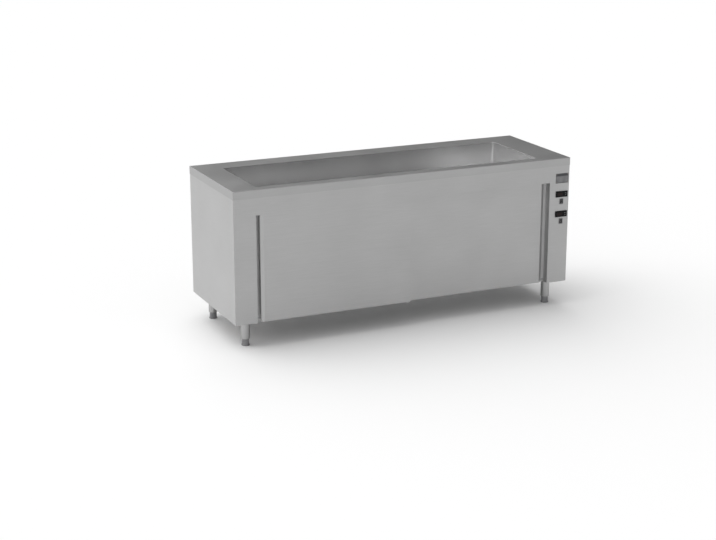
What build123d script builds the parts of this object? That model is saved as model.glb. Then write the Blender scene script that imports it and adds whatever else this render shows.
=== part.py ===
from build123d import *
import os
from math import hypot

# Bain marie counter: one open heated well over a hot cupboard with two sliding doors.
# Millimetres. X runs to the right along the front, Y from front to back, Z up from the floor.
# The origin lies on the floor under the middle of the worktop.

# Worktop
TOP_LENGTH = 2070.0
TOP_DEPTH = 700.0
TOP_HEIGHT = 885.0
TOP_SHEET = 1.5
TOP_EDGE_DROP = 45.0
TOP_EDGE_BEND = 2.5
SKIRT_GAP = 0.5

# Body of folded sheet
BODY_CLEARANCE = 145.0
PANEL_SHEET = 1.2
PANEL_FLANGE = 15.0
COLUMN_WIDTH = 128.0
FASCIA_HEIGHT = 140.0
BASE_RISE = 20.0
BACK_INSULATION = 30.0
JAMB_WIDTH = 40.0
VENT_COUNT = 8
VENT_LENGTH = 60.0
VENT_HEIGHT = 4.0
VENT_PITCH = 14.0
VENT_RISE = 90.0

# Well
WELL_WIDTH = 510.0
WELL_DEPTH = 200.0
WELL_GAP_LEFT = 5.5
WELL_GAP_RIGHT = 41.5
WELL_CORNER = 15.0
WELL_FLOOR_BEND = 10.0
WELL_RIM_ROUND = 1.0
TANK_SHEET = 1.5
TANK_RIM = 15.0
TANK_FRONT_GAP = 16.8

# Space between the well and the cupboard
CEILING_DROP = 72.0
CEILING_EDGE = 8.0
HEATER_RADIUS = 4.25
HEATER_RUNS = 6
HEATER_SIDE_INSET = 60.0
HEATER_DRAIN_GAP = 110.0
HEATER_TAIL = 25.0
HEATER_SEAT_GAP = 0.3
HEATER_BEND_SHARE = 0.45
CLAMP_COUNT = 4
CLAMP_WIDTH = 20.0
CLAMP_SHEET = 2.0
CLAMP_LEG = 8.0
CLAMP_END_INSET = 140.0

# Drain
DRAIN_INSET = 75.0
DRAIN_FLANGE_RADIUS = 30.0
DRAIN_FLANGE = 2.0
DRAIN_WALL = 3.5
DRAIN_TAIL = 12.0
DRAIN_SEAT_DEPTH = 10.0
DRAIN_SEAT_WIDTH = 2.0
DRAIN_HOLE_CLEARANCE = 0.2
STANDPIPE_RADIUS = 13.5
STANDPIPE_WALL = 1.5
STANDPIPE_HEIGHT = 110.0
STANDPIPE_LIP = 2.0
STANDPIPE_LIP_HEIGHT = 6.0
RUNNING_CLEARANCE = 0.05
PIPE_RADIUS = 14.0
PIPE_WALL = 1.5
PIPE_BEND = 28.0
PIPE_STRAIGHT = 4.0
PIPE_HOLE_CLEARANCE = 1.5
PIPE_DROP_OFFSET = 60.0
VALVE_DROP = 30.0
VALVE_RADIUS = 19.0
VALVE_LENGTH = 64.0
VALVE_BALL_RADIUS = 15.0
VALVE_BALL_CLEARANCE = 0.3
VALVE_BORE = 10.0
VALVE_TAIL_RADIUS = 13.2
VALVE_TAIL_LENGTH = 26.0
VALVE_NECK_RADIUS = 9.0
VALVE_NECK_LENGTH = 4.0
VALVE_STEM_RADIUS = 4.0
LEVER_REACH = 85.0
LEVER_WIDTH = 14.0
LEVER_SHEET = 3.0
LEVER_GRIP_LENGTH = 45.0
LEVER_GRIP_WALL = 1.5

# Sliding doors
DOOR_THICKNESS = 16.0
DOOR_GAP = 3.5
DOOR_SHEET = 1.0
DOOR_OVERLAP = 36.0
DOOR_TUCK = 10.0
DOOR_BOTTOM_GAP = 2.0
DOOR_FRONT_CLEARANCE = 1.3
DOOR_BACK_CLEARANCE = 3.0
FINGER_GAP = 24.0
PULL_WIDTH = 18.0
PULL_DEPTH = 8.0

# Door hangers, rollers and tracks
HANGER_THICKNESS = 3.0
HANGER_WIDTH = 24.0
HANGER_FOOT_LENGTH = 44.0
HANGER_FOOT_THICKNESS = 2.5
HANGER_FOOT_CLEARANCE = 2.5
HANGER_INSET = 60.0
HANGER_EYE = 5.5
ROLLER_RADIUS = 8.0
ROLLER_WIDTH = 4.0
ROLLER_SIDE_GAP = 0.5
AXLE_RADIUS = 2.5
ROLLING_CLEARANCE = 0.3
TRACK_SHEET = 1.5
TRACK_SLOT_CLEARANCE = 1.5
TRACK_SIDE_CLEARANCE = 1.0
TRACK_HEADROOM = 1.7
TRACK_FRONT_GAP = 0.8
TRACK_FLANGE = 8.0
STOP_LENGTH = 15.0
STOP_GAP = 1.0
GUIDE_FIN_THICKNESS = 4.0
GUIDE_FIN_HEIGHT = 12.0
GUIDE_FIN_CLEARANCE = 1.5
GUIDE_END_CLEARANCE = 2.5
GUIDE_PLATE = 3.0
GUIDE_MARGIN = 3.0

# Cupboard fittings
SHELF_RISE = 225.0
SHELF_THICKNESS = 18.0
SHELF_END_GAP = 1.0
SHELF_FRONT_GAP = 20.0
SHELF_BACK_GAP = 15.0
BRACKET_LEG = 20.0
BRACKET_SHEET = 1.5
BRACKET_SPREAD = 300.0
BRACKET_REACH = 260.0
GUARD_LENGTH = 1440.0
GUARD_HEIGHT = 84.0
GUARD_DEPTH = 50.0
GUARD_LOW = 12.0
GUARD_SLOT_COUNT = 24
GUARD_SLOT_LENGTH = 34.0
GUARD_SLOT_HEIGHT = 6.0
GUARD_SLOT_ROWS = 3
CUPBOARD_HEATER_PITCH = 34.0
CUPBOARD_HEATER_TAIL = 22.0
CUPBOARD_HEATER_LOW = 40.0

# Legs and feet
LEG_RADIUS = 25.0
LEG_WALL = 1.5
LEG_INSET_END = 86.0
LEG_INSET_SIDE = 88.0
LEG_PLATE_LENGTH = 90.0
LEG_PLATE_WIDTH = 54.0
LEG_PLATE = 3.0
LEG_PLUG = 20.0
FOOT_HEIGHT = 40.0
FOOT_PAD_RADIUS = 23.0
FOOT_PAD_HEIGHT = 7.0
FOOT_NECK_RADIUS = 20.0
FOOT_STEM_RADIUS = 10.0
FOOT_TRAVEL = 35.0
FOOT_STEM_HOLD = 12.0

# Controls, measured from the right end and down from the worktop
CONTROL_INSET = 48.0
WELL_CONTROL_DROP = 212.0
CUPBOARD_CONTROL_DROP = 330.0
THERMOSTAT_WIDTH = 77.0
THERMOSTAT_HEIGHT = 35.0
THERMOSTAT_PROUD = 4.0
THERMOSTAT_LIP = 3.0
THERMOSTAT_DEPTH = 55.0
CUTOUT_CLEARANCE = 0.3
WINDOW_WIDTH = 40.0
WINDOW_HEIGHT = 20.0
WINDOW_THICKNESS = 1.5
WINDOW_SHIFT = 11.0
KEY_WIDTH = 14.0
KEY_HEIGHT = 9.0
KEY_PITCH = 12.0
KEY_SHIFT = 25.0
KEY_PROUD = 0.8
KEY_DEPTH = 5.0
KEY_TRAVEL = 0.7
KEY_CLEARANCE = 0.3
SWITCH_DROP = 43.0
SWITCH_WIDTH = 24.0
SWITCH_HEIGHT = 32.0
SWITCH_PROUD = 2.0
SWITCH_LIP = 2.0
SWITCH_WALL = 1.5
SWITCH_DEPTH = 20.0
ROCKER_CLEARANCE = 0.5
ROCKER_END_CLEARANCE = 1.4
ROCKER_PROUD = 3.0
ROCKER_VALLEY = 1.2
ROCKER_BACK = 6.0
ROCKER_TILT = 8.0
ROCKER_PIN_RADIUS = 1.0
ROCKER_PIN_LENGTH = 1.5
ROCKER_PIN_END_GAP = 0.2
PLATE_WIDTH = 84.0
PLATE_HEIGHT = 58.0
PLATE_SHEET = 0.8
PLATE_CENTRE = 118.0
CONTACTOR_WIDTH = 45.0
CONTACTOR_HEIGHT = 75.0
CONTACTOR_DEPTH = 60.0
CONTACTOR_GAP = 15.0
CONTACTOR_RISE = 180.0
CONTACTOR_STEP = 12.0
CONTACTOR_FRONT = 0.0
GLAND_RADIUS = 10.0
GLAND_HEX = 14.0
GLAND_HEX_HEIGHT = 8.0
GLAND_DOME_HEIGHT = 20.0
GLAND_THREAD = 8.0
GLAND_BORE = 5.0
GLAND_HOLE_CLEARANCE = 0.1
GLAND_INSET = 150.0

# Back panel screws
SCREW_HEAD_RADIUS = 4.2
SCREW_HEAD_HEIGHT = 2.0
SCREW_RADIUS = 2.0
SCREW_LENGTH = 8.0
SCREW_HOLE_CLEARANCE = 0.1
SCREW_INSET = 30.0
SCREW_COLUMNS = 5

# Main planes of the body
half_length = TOP_LENGTH / 2
top_front = -TOP_DEPTH / 2
top_back = TOP_DEPTH / 2
under_top = TOP_HEIGHT - TOP_SHEET
body_half = half_length - TOP_SHEET - SKIRT_GAP
panel_inside = body_half - PANEL_SHEET
opening_half = body_half - COLUMN_WIDTH
front_plane = top_front + TOP_SHEET
back_plane = top_back - TOP_SHEET
body_low = BODY_CLEARANCE
fascia_low = TOP_HEIGHT - FASCIA_HEIGHT
base_top = body_low + BASE_RISE
base_under = base_top - PANEL_SHEET
back_inside = back_plane - PANEL_SHEET
liner_back = back_inside - BACK_INSULATION
liner_front = liner_back - PANEL_SHEET

# Track and door planes, stacked behind the fascia
slot_half = HANGER_THICKNESS / 2 + TRACK_SLOT_CLEARANCE
roller_half = HANGER_THICKNESS / 2 + ROLLER_SIDE_GAP + ROLLER_WIDTH
track_room = roller_half + TRACK_SIDE_CLEARANCE
track_half = track_room + TRACK_SHEET
door_half = DOOR_THICKNESS / 2
front_standoff = max(door_half + DOOR_FRONT_CLEARANCE, track_half + TRACK_FRONT_GAP)
back_standoff = max(door_half + DOOR_BACK_CLEARANCE, track_half + TRACK_FRONT_GAP)
outer_line = front_plane + PANEL_SHEET + front_standoff
inner_line = outer_line + max(DOOR_THICKNESS + DOOR_GAP, 2 * track_half + TRACK_SHEET)
jamb_front = inner_line + back_standoff
jamb_back = jamb_front + PANEL_SHEET
door_low = body_low + DOOR_BOTTOM_GAP
door_top = fascia_low + DOOR_TUCK
door_width = opening_half - FINGER_GAP + DOOR_OVERLAP / 2
door_travel = door_width - DOOR_OVERLAP
foot_top = door_top + HANGER_FOOT_THICKNESS
track_low = foot_top + HANGER_FOOT_CLEARANCE
track_floor = track_low + TRACK_SHEET
track_roof = track_floor + ROLLING_CLEARANCE + 2 * ROLLER_RADIUS + TRACK_HEADROOM
track_top = track_roof + TRACK_SHEET
axle_height = track_floor + ROLLING_CLEARANCE + ROLLER_RADIUS
guide_slot_half = GUIDE_FIN_THICKNESS / 2 + GUIDE_FIN_CLEARANCE

# Well planes
well_left = -opening_half + WELL_GAP_LEFT + TANK_RIM + TANK_SHEET
well_right = opening_half - WELL_GAP_RIGHT - TANK_RIM - TANK_SHEET
well_front = jamb_back + TANK_FRONT_GAP + TANK_SHEET
well_back = well_front + WELL_WIDTH
well_middle = (well_front + well_back) / 2
well_floor = TOP_HEIGHT - WELL_DEPTH
tank_under = well_floor - TANK_SHEET
ceiling_low = tank_under - CEILING_DROP
ceiling_top = ceiling_low + PANEL_SHEET
heater_height = tank_under - HEATER_SEAT_GAP - HEATER_RADIUS
clamp_top = heater_height - HEATER_RADIUS - HEATER_SEAT_GAP
clamp_low = clamp_top - CLAMP_SHEET

# Drain lines
drain_x = well_left + DRAIN_INSET
standpipe_hole = STANDPIPE_RADIUS + RUNNING_CLEARANCE
drain_tube_radius = standpipe_hole + DRAIN_WALL
drain_end = tank_under - DRAIN_TAIL
pipe_run = drain_end - PIPE_STRAIGHT - PIPE_BEND
pipe_drop_x = -(opening_half + PANEL_SHEET + PIPE_DROP_OFFSET)
valve_height = body_low - VALVE_DROP
valve_inlet = pipe_drop_x + PIPE_BEND + PIPE_STRAIGHT
valve_x = valve_inlet + VALVE_LENGTH / 2
lever_top = valve_height - VALVE_RADIUS - VALVE_NECK_LENGTH

# Control column lines
control_x = body_half - CONTROL_INSET
bezel_front = front_plane - THERMOSTAT_PROUD
switch_front = front_plane - SWITCH_PROUD
rocker_half_width = SWITCH_WIDTH / 2 - SWITCH_LIP - SWITCH_WALL - ROCKER_CLEARANCE
rocker_half_height = SWITCH_HEIGHT / 2 - SWITCH_LIP - SWITCH_WALL - ROCKER_END_CLEARANCE
rocker_pivot_y = front_plane
well_control = TOP_HEIGHT - WELL_CONTROL_DROP
cupboard_control = TOP_HEIGHT - CUPBOARD_CONTROL_DROP
control_heights = (well_control, cupboard_control)
plate_height = TOP_HEIGHT - PLATE_CENTRE
leg_x = body_half - LEG_INSET_END
leg_y = TOP_DEPTH / 2 - LEG_INSET_SIDE
leg_top = base_under - LEG_PLATE
gland_y = back_inside - GLAND_INSET
compartment_x = (opening_half + body_half) / 2

# A cut runs this far past the face that it opens
OVERCUT = 1.0

# Inside the sheet, the slanted pull's corners move by these shares of the sheet's thickness
pull_slant = hypot(PULL_WIDTH, PULL_DEPTH)
pull_edge_share = (pull_slant - PULL_DEPTH) / PULL_WIDTH
pull_face_share = (pull_slant - PULL_WIDTH) / PULL_DEPTH


def block(x0, x1, y0, y1, z0, z1):
    """A box between two corners."""
    centre = Pos((x0 + x1) / 2, (y0 + y1) / 2, (z0 + z1) / 2)
    return centre * Box(x1 - x0, y1 - y0, z1 - z0)


def rod(start, direction, radius, length):
    """A round bar from a start point along a direction."""
    return extrude(Plane(origin=start, z_dir=direction) * Circle(radius), amount=length)


def rounded_prism(x0, x1, y0, y1, z0, z1, radius):
    """A box whose upright corners are rounded."""
    outline = Pos((x0 + x1) / 2, (y0 + y1) / 2, z0) * RectangleRounded(x1 - x0, y1 - y0, radius)
    return extrude(outline, amount=z1 - z0)


def bent_tube(points, bend, radius, wall=0.0):
    """A tube of one diameter along straight runs joined by arcs; solid where the wall is zero."""
    path = FilletPolyline(*points, radius=bend)
    section = Plane(origin=path @ 0, z_dir=path % 0)
    tube = sweep(section * Circle(radius), path)
    if wall > 0:
        tube = tube - sweep(section * Circle(radius - wall), path)
    return tube


# Worktop and well


def worktop():
    """Top sheet with turned-down edges and the opening over the well."""
    top = block(-half_length, half_length, top_front, top_back, TOP_HEIGHT - TOP_EDGE_DROP, TOP_HEIGHT)
    low_face = top.faces().sort_by(Axis.Z)[0]
    top = fillet([edge for edge in top.edges() if edge not in low_face.edges()], TOP_EDGE_BEND)
    hollow = block(
        -half_length + TOP_SHEET,
        half_length - TOP_SHEET,
        top_front + TOP_SHEET,
        top_back - TOP_SHEET,
        TOP_HEIGHT - TOP_EDGE_DROP - OVERCUT,
        under_top,
    )
    opening = rounded_prism(
        well_left, well_right, well_front, well_back, under_top - OVERCUT, TOP_HEIGHT + OVERCUT, WELL_CORNER
    )
    top = top - hollow - opening
    inner_wires = top.faces().sort_by(Axis.Z)[-1].inner_wires()
    return fillet(inner_wires[0].edges(), WELL_RIM_ROUND)


def well_tank():
    """Welded tub that hangs under the opening by its rim."""
    sheet = TANK_SHEET
    tub = rounded_prism(
        well_left - sheet,
        well_right + sheet,
        well_front - sheet,
        well_back + sheet,
        tank_under,
        under_top,
        WELL_CORNER + sheet,
    )
    tub = fillet(tub.faces().sort_by(Axis.Z)[0].edges(), WELL_FLOOR_BEND + sheet)
    reach = sheet + TANK_RIM
    rim = rounded_prism(
        well_left - reach,
        well_right + reach,
        well_front - reach,
        well_back + reach,
        under_top - sheet,
        under_top,
        WELL_CORNER + reach,
    )
    hollow = rounded_prism(
        well_left, well_right, well_front, well_back, well_floor, under_top + OVERCUT, WELL_CORNER
    )
    hollow = fillet(hollow.faces().sort_by(Axis.Z)[0].edges(), WELL_FLOOR_BEND)
    hole = rod(
        (drain_x, well_middle, tank_under - OVERCUT),
        (0, 0, 1),
        drain_tube_radius + DRAIN_HOLE_CLEARANCE,
        TANK_SHEET + 2 * OVERCUT,
    )
    return tub + rim - hollow - hole


def heater_lines():
    """Y places of the long runs of the well's heating element."""
    first = well_front + HEATER_SIDE_INSET
    pitch = (WELL_WIDTH - 2 * HEATER_SIDE_INSET) / (HEATER_RUNS - 1)
    return [first + pitch * run for run in range(HEATER_RUNS)]


def well_heater():
    """Armoured element folded to and fro under the well's floor."""
    near_drain = drain_x + HEATER_DRAIN_GAP
    tails = well_right - HEATER_TAIL
    lines = heater_lines()
    points = []
    for run, line in enumerate(lines):
        ends = (tails, near_drain) if run % 2 == 0 else (near_drain, tails)
        points += [(x, line, heater_height) for x in ends]
    bend = HEATER_BEND_SHARE * (lines[1] - lines[0])
    return bent_tube(points, bend, HEATER_RADIUS)


def heater_clamps():
    """Bridges that hold the element against the well's floor."""
    lines = heater_lines()
    front = lines[0] - HEATER_SIDE_INSET / 2
    back = lines[-1] + HEATER_SIDE_INSET / 2
    first = drain_x + HEATER_DRAIN_GAP + CLAMP_END_INSET
    pitch = (well_right - HEATER_TAIL - CLAMP_END_INSET - first) / (CLAMP_COUNT - 1)
    clamps = []
    for number in range(CLAMP_COUNT):
        x0 = first + pitch * number - CLAMP_WIDTH / 2
        x1 = x0 + CLAMP_WIDTH
        bridge = block(x0, x1, front, back, clamp_low, clamp_top)
        bridge += block(x0, x1, front, front + CLAMP_LEG, clamp_low, tank_under)
        bridge += block(x0, x1, back - CLAMP_LEG, back, clamp_low, tank_under)
        clamps.append(bridge)
    return clamps


def well_insulation():
    """Mineral wool slab between the element and the cupboard's ceiling."""
    left = drain_x + HEATER_DRAIN_GAP - CLAMP_WIDTH
    return block(left, well_right, well_front, well_back, ceiling_top, clamp_low)


def cupboard_ceiling():
    """Tray that closes the cupboard under the well and carries the insulation."""
    top = ceiling_low + CEILING_EDGE
    tray = block(-opening_half, opening_half, jamb_back, liner_front, ceiling_low, top)
    inside = block(
        -opening_half + PANEL_SHEET,
        opening_half - PANEL_SHEET,
        jamb_back + PANEL_SHEET,
        liner_front - PANEL_SHEET,
        ceiling_top,
        top + OVERCUT,
    )
    return tray - inside


# Drain


def drain_fitting():
    """Flanged outlet in the well's floor, with a seat for the standpipe."""
    flange = rod((drain_x, well_middle, well_floor), (0, 0, 1), DRAIN_FLANGE_RADIUS, DRAIN_FLANGE)
    tube = rod((drain_x, well_middle, drain_end), (0, 0, 1), drain_tube_radius, well_floor - drain_end)
    seat = well_floor + DRAIN_FLANGE - DRAIN_SEAT_DEPTH
    socket = rod((drain_x, well_middle, seat), (0, 0, 1), standpipe_hole, DRAIN_SEAT_DEPTH + OVERCUT)
    outlet = rod(
        (drain_x, well_middle, drain_end - OVERCUT),
        (0, 0, 1),
        standpipe_hole - DRAIN_SEAT_WIDTH,
        seat - drain_end + 2 * OVERCUT,
    )
    return flange + tube - socket - outlet


def overflow_standpipe():
    """Tube that stands in the drain and sets the water level."""
    seat = well_floor + DRAIN_FLANGE - DRAIN_SEAT_DEPTH
    top = well_floor + STANDPIPE_HEIGHT
    pipe = rod((drain_x, well_middle, seat), (0, 0, 1), STANDPIPE_RADIUS, top - seat)
    lip_low = (drain_x, well_middle, top - STANDPIPE_LIP_HEIGHT)
    pipe += rod(lip_low, (0, 0, 1), STANDPIPE_RADIUS + STANDPIPE_LIP, STANDPIPE_LIP_HEIGHT)
    bore_low = (drain_x, well_middle, seat - OVERCUT)
    return pipe - rod(bore_low, (0, 0, 1), STANDPIPE_RADIUS - STANDPIPE_WALL, top - seat + 2 * OVERCUT)


def drain_pipe():
    """Pipe from the well's outlet into the left column's hollow and down under the base."""
    points = [
        (drain_x, well_middle, drain_end),
        (drain_x, well_middle, pipe_run),
        (pipe_drop_x, well_middle, pipe_run),
        (pipe_drop_x, well_middle, valve_height),
        (valve_inlet, well_middle, valve_height),
    ]
    return bent_tube(points, PIPE_BEND, PIPE_RADIUS, PIPE_WALL)


def valve_body():
    """Ball valve housing with its outlet tail."""
    inlet = (valve_inlet, well_middle, valve_height)
    body = rod(inlet, (1, 0, 0), VALVE_RADIUS, VALVE_LENGTH)
    tail_start = (valve_inlet + VALVE_LENGTH, well_middle, valve_height)
    body += rod(tail_start, (1, 0, 0), VALVE_TAIL_RADIUS, VALVE_TAIL_LENGTH)
    neck_low = (valve_x, well_middle, lever_top)
    body += rod(neck_low, (0, 0, 1), VALVE_NECK_RADIUS, VALVE_RADIUS)
    cavity = Pos(valve_x, well_middle, valve_height) * Sphere(VALVE_BALL_RADIUS + VALVE_BALL_CLEARANCE)
    bore_start = (valve_inlet - OVERCUT, well_middle, valve_height)
    bore = rod(bore_start, (1, 0, 0), VALVE_BORE, VALVE_LENGTH + VALVE_TAIL_LENGTH + 2 * OVERCUT)
    stem_low = (valve_x, well_middle, lever_top - OVERCUT)
    stem_hole = rod(stem_low, (0, 0, 1), VALVE_STEM_RADIUS + RUNNING_CLEARANCE, VALVE_RADIUS)
    return body - cavity - bore - stem_hole


def valve_ball():
    """Drilled ball on its stem; closed at rest, so its bore lies across the pipe."""
    ball = Pos(valve_x, well_middle, valve_height) * Sphere(VALVE_BALL_RADIUS)
    stem = rod((valve_x, well_middle, lever_top), (0, 0, 1), VALVE_STEM_RADIUS, valve_height - lever_top)
    bore_start = (valve_x, well_middle - VALVE_BALL_RADIUS - OVERCUT, valve_height)
    bore = rod(bore_start, (0, 1, 0), VALVE_BORE, 2 * (VALVE_BALL_RADIUS + OVERCUT))
    return ball + stem - bore


def valve_lever():
    """Flat lever under the valve, with a thicker grip at its end."""
    hub = rod((valve_x, well_middle, lever_top - LEVER_SHEET), (0, 0, 1), VALVE_NECK_RADIUS, LEVER_SHEET)
    half = LEVER_WIDTH / 2
    tip = well_middle - LEVER_REACH
    bar = block(valve_x - half, valve_x + half, tip, well_middle, lever_top - LEVER_SHEET, lever_top)
    wall = LEVER_GRIP_WALL
    grip = block(
        valve_x - half - wall,
        valve_x + half + wall,
        tip - wall,
        tip + LEVER_GRIP_LENGTH,
        lever_top - LEVER_SHEET - wall,
        lever_top + wall,
    )
    return hub + bar + grip


# Body panels


def base_pan():
    """Cupboard floor, folded down at its edges, with a lip under its front edge."""
    pan = block(-panel_inside, panel_inside, jamb_front, back_inside, body_low, base_top)
    pan -= block(
        -panel_inside + PANEL_SHEET,
        panel_inside - PANEL_SHEET,
        jamb_front + PANEL_SHEET,
        back_inside - PANEL_SHEET,
        body_low - OVERCUT,
        base_under,
    )
    pan += block(
        -opening_half,
        opening_half,
        jamb_front,
        jamb_front + PANEL_FLANGE,
        body_low,
        body_low + PANEL_SHEET,
    )
    hole_low = base_under - OVERCUT
    hole_height = PANEL_SHEET + 2 * OVERCUT
    pipe_hole = PIPE_RADIUS + PIPE_HOLE_CLEARANCE
    pan -= rod((pipe_drop_x, well_middle, hole_low), (0, 0, 1), pipe_hole, hole_height)
    gland_hole = GLAND_RADIUS + GLAND_HOLE_CLEARANCE
    pan -= rod((compartment_x, gland_y, hole_low), (0, 0, 1), gland_hole, hole_height)
    return pan


def side_panel(side):
    """Flat end panel with a flange under the worktop; side is -1 at the left and 1 at the right."""
    outer, inner = sorted((side * body_half, side * panel_inside))
    panel = block(outer, inner, front_plane + PANEL_SHEET, back_inside, body_low, under_top)
    low, high = sorted((side * panel_inside, side * (panel_inside - PANEL_FLANGE)))
    return panel + block(low, high, jamb_front, back_inside, under_top - PANEL_SHEET, under_top)


def screw_places():
    """X and Z of each screw of the back panel."""
    x_end = body_half - SCREW_INSET
    x_pitch = 2 * x_end / (SCREW_COLUMNS - 1)
    rows = (body_low + SCREW_INSET, TOP_HEIGHT - TOP_EDGE_DROP - SCREW_INSET)
    return [(-x_end + x_pitch * column, z) for column in range(SCREW_COLUMNS) for z in rows]


def back_panel():
    """Flat back with vents behind the control column and holes for its screws."""
    panel = block(-body_half, body_half, back_inside, back_plane, body_low, under_top)
    for number in range(VENT_COUNT):
        low = base_top + VENT_RISE + VENT_PITCH * number
        panel -= block(
            compartment_x - VENT_LENGTH / 2,
            compartment_x + VENT_LENGTH / 2,
            back_inside - OVERCUT,
            back_plane + OVERCUT,
            low,
            low + VENT_HEIGHT,
        )
    radius = SCREW_RADIUS + SCREW_HOLE_CLEARANCE
    for x, z in screw_places():
        panel -= rod((x, back_inside - OVERCUT, z), (0, 1, 0), radius, PANEL_SHEET + 2 * OVERCUT)
    return panel


def panel_screws():
    """Pan-head screws of the back panel."""
    screws = []
    for x, z in screw_places():
        head = rod((x, back_plane, z), (0, 1, 0), SCREW_HEAD_RADIUS, SCREW_HEAD_HEIGHT)
        shank = rod((x, back_plane - SCREW_LENGTH, z), (0, 1, 0), SCREW_RADIUS, SCREW_LENGTH)
        screws.append(head + shank)
    return screws


def front_fascia():
    """Front sheet between the columns, above the doors."""
    fascia = block(
        -opening_half, opening_half, front_plane, front_plane + PANEL_SHEET, fascia_low, under_top
    )
    return fascia + block(
        -opening_half,
        opening_half,
        front_plane,
        front_plane + PANEL_FLANGE,
        under_top - PANEL_SHEET,
        under_top,
    )


def column(side):
    """Front post with a deep reveal beside the doors; side is -1 at the left and 1 at the right."""
    x0, x1 = sorted((side * opening_half, side * body_half))
    post = block(x0, x1, front_plane, jamb_front, body_low, under_top)
    hollow_x0, hollow_x1 = sorted((side * (opening_half + PANEL_SHEET), side * (body_half + OVERCUT)))
    post -= block(
        hollow_x0,
        hollow_x1,
        front_plane + PANEL_SHEET,
        jamb_front + OVERCUT,
        body_low + PANEL_SHEET,
        under_top - PANEL_SHEET,
    )
    edge_x0, edge_x1 = sorted((side * panel_inside, side * (body_half + OVERCUT)))
    return post - block(
        edge_x0,
        edge_x1,
        front_plane + PANEL_SHEET,
        jamb_front + OVERCUT,
        body_low - OVERCUT,
        under_top + OVERCUT,
    )


def control_column():
    """Right post with the cut-outs for the thermostats and the switches."""
    post = column(1)
    for height in control_heights:
        half_x = THERMOSTAT_WIDTH / 2 - THERMOSTAT_LIP + CUTOUT_CLEARANCE
        half_z = THERMOSTAT_HEIGHT / 2 - THERMOSTAT_LIP + CUTOUT_CLEARANCE
        post -= panel_cut(control_x, height, half_x, half_z)
        half_x = SWITCH_WIDTH / 2 - SWITCH_LIP + CUTOUT_CLEARANCE
        half_z = SWITCH_HEIGHT / 2 - SWITCH_LIP + CUTOUT_CLEARANCE
        post -= panel_cut(control_x, height - SWITCH_DROP, half_x, half_z)
    return post


def panel_cut(x, z, half_x, half_z):
    """A block that cuts a rectangle through the front sheet."""
    return block(
        x - half_x,
        x + half_x,
        front_plane - OVERCUT,
        front_plane + PANEL_SHEET + OVERCUT,
        z - half_z,
        z + half_z,
    )


def door_surround():
    """Strips that close the cupboard behind the finger gaps and in front of the well tank."""
    apron = block(-opening_half, opening_half, jamb_front, jamb_back, ceiling_low, track_top)
    inner = opening_half - JAMB_WIDTH
    left = block(-opening_half, -inner, jamb_front, jamb_back, base_top, ceiling_low)
    right = block(inner, opening_half, jamb_front, jamb_back, base_top, ceiling_low)
    return [apron, left, right]


def side_liners():
    """Inner walls of the cupboard; the left one lets the drain pipe through."""
    liners = []
    for side in (-1, 1):
        x0, x1 = sorted((side * opening_half, side * (opening_half + PANEL_SHEET)))
        liner = block(x0, x1, jamb_front, liner_front, base_top, under_top)
        x0, x1 = sorted((side * opening_half, side * (opening_half + PANEL_FLANGE)))
        liner += block(x0, x1, jamb_front, liner_front, under_top - PANEL_SHEET, under_top)
        liners.append(liner)
    hole_start = (-opening_half - PANEL_SHEET - OVERCUT, well_middle, pipe_run)
    hole_length = PANEL_SHEET + 2 * OVERCUT
    liners[0] -= rod(hole_start, (1, 0, 0), PIPE_RADIUS + PIPE_HOLE_CLEARANCE, hole_length)
    return liners


def back_liner():
    """Rear wall of the cupboard, in front of the insulation."""
    half = opening_half + PANEL_SHEET
    return block(-half, half, liner_front, liner_back, base_top, under_top)


def back_insulation():
    """Mineral wool slab behind the cupboard."""
    half = opening_half + PANEL_SHEET
    slab = block(-half, half, liner_back, back_inside, base_top, under_top)
    radius = SCREW_RADIUS + SCREW_HOLE_CLEARANCE
    for x, z in screw_places():
        slab -= rod((x, back_plane - SCREW_LENGTH, z), (0, 1, 0), radius, SCREW_LENGTH)
    return slab


# Cupboard fittings


def cupboard_shelf():
    """Middle shelf, folded down at its edges."""
    half = opening_half - SHELF_END_GAP
    front = jamb_back + SHELF_FRONT_GAP
    back = liner_front - SHELF_BACK_GAP
    top = base_top + SHELF_RISE
    shelf = block(-half, half, front, back, top - SHELF_THICKNESS, top)
    return shelf - block(
        -half + PANEL_SHEET,
        half - PANEL_SHEET,
        front + PANEL_SHEET,
        back - PANEL_SHEET,
        top - SHELF_THICKNESS - OVERCUT,
        top - PANEL_SHEET,
    )


def shelf_supports():
    """Angles on the side liners and arms from the back liner, under the shelf."""
    top = base_top + SHELF_RISE - SHELF_THICKNESS
    front = jamb_back + SHELF_FRONT_GAP
    supports = []
    for side in (-1, 1):
        wall, web, tip = (
            side * opening_half,
            side * (opening_half - BRACKET_SHEET),
            side * (opening_half - BRACKET_LEG),
        )
        x0, x1 = sorted((wall, web))
        angle = block(x0, x1, front, liner_front, top - BRACKET_LEG, top)
        x0, x1 = sorted((wall, tip))
        supports.append(angle + block(x0, x1, front, liner_front, top - BRACKET_SHEET, top))
    for side in (-1, 1):
        x0 = side * BRACKET_SPREAD - BRACKET_LEG / 2
        x1 = x0 + BRACKET_LEG
        arm_front = liner_front - BRACKET_REACH
        arm = block(x0, x1, arm_front, liner_front, top - BRACKET_SHEET, top)
        supports.append(arm + block(x0, x0 + BRACKET_SHEET, arm_front, liner_front, top - BRACKET_LEG, top))
    return supports


def cupboard_heater_points():
    """Corners of the cupboard's heating element: out along one run and back along the one above."""
    y = liner_front - GUARD_DEPTH / 2
    low = base_top + CUPBOARD_HEATER_LOW
    end = GUARD_LENGTH / 2 + CUPBOARD_HEATER_TAIL
    return [
        (end, y, low),
        (-end, y, low),
        (-end, y, low + CUPBOARD_HEATER_PITCH),
        (end, y, low + CUPBOARD_HEATER_PITCH),
    ]


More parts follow.
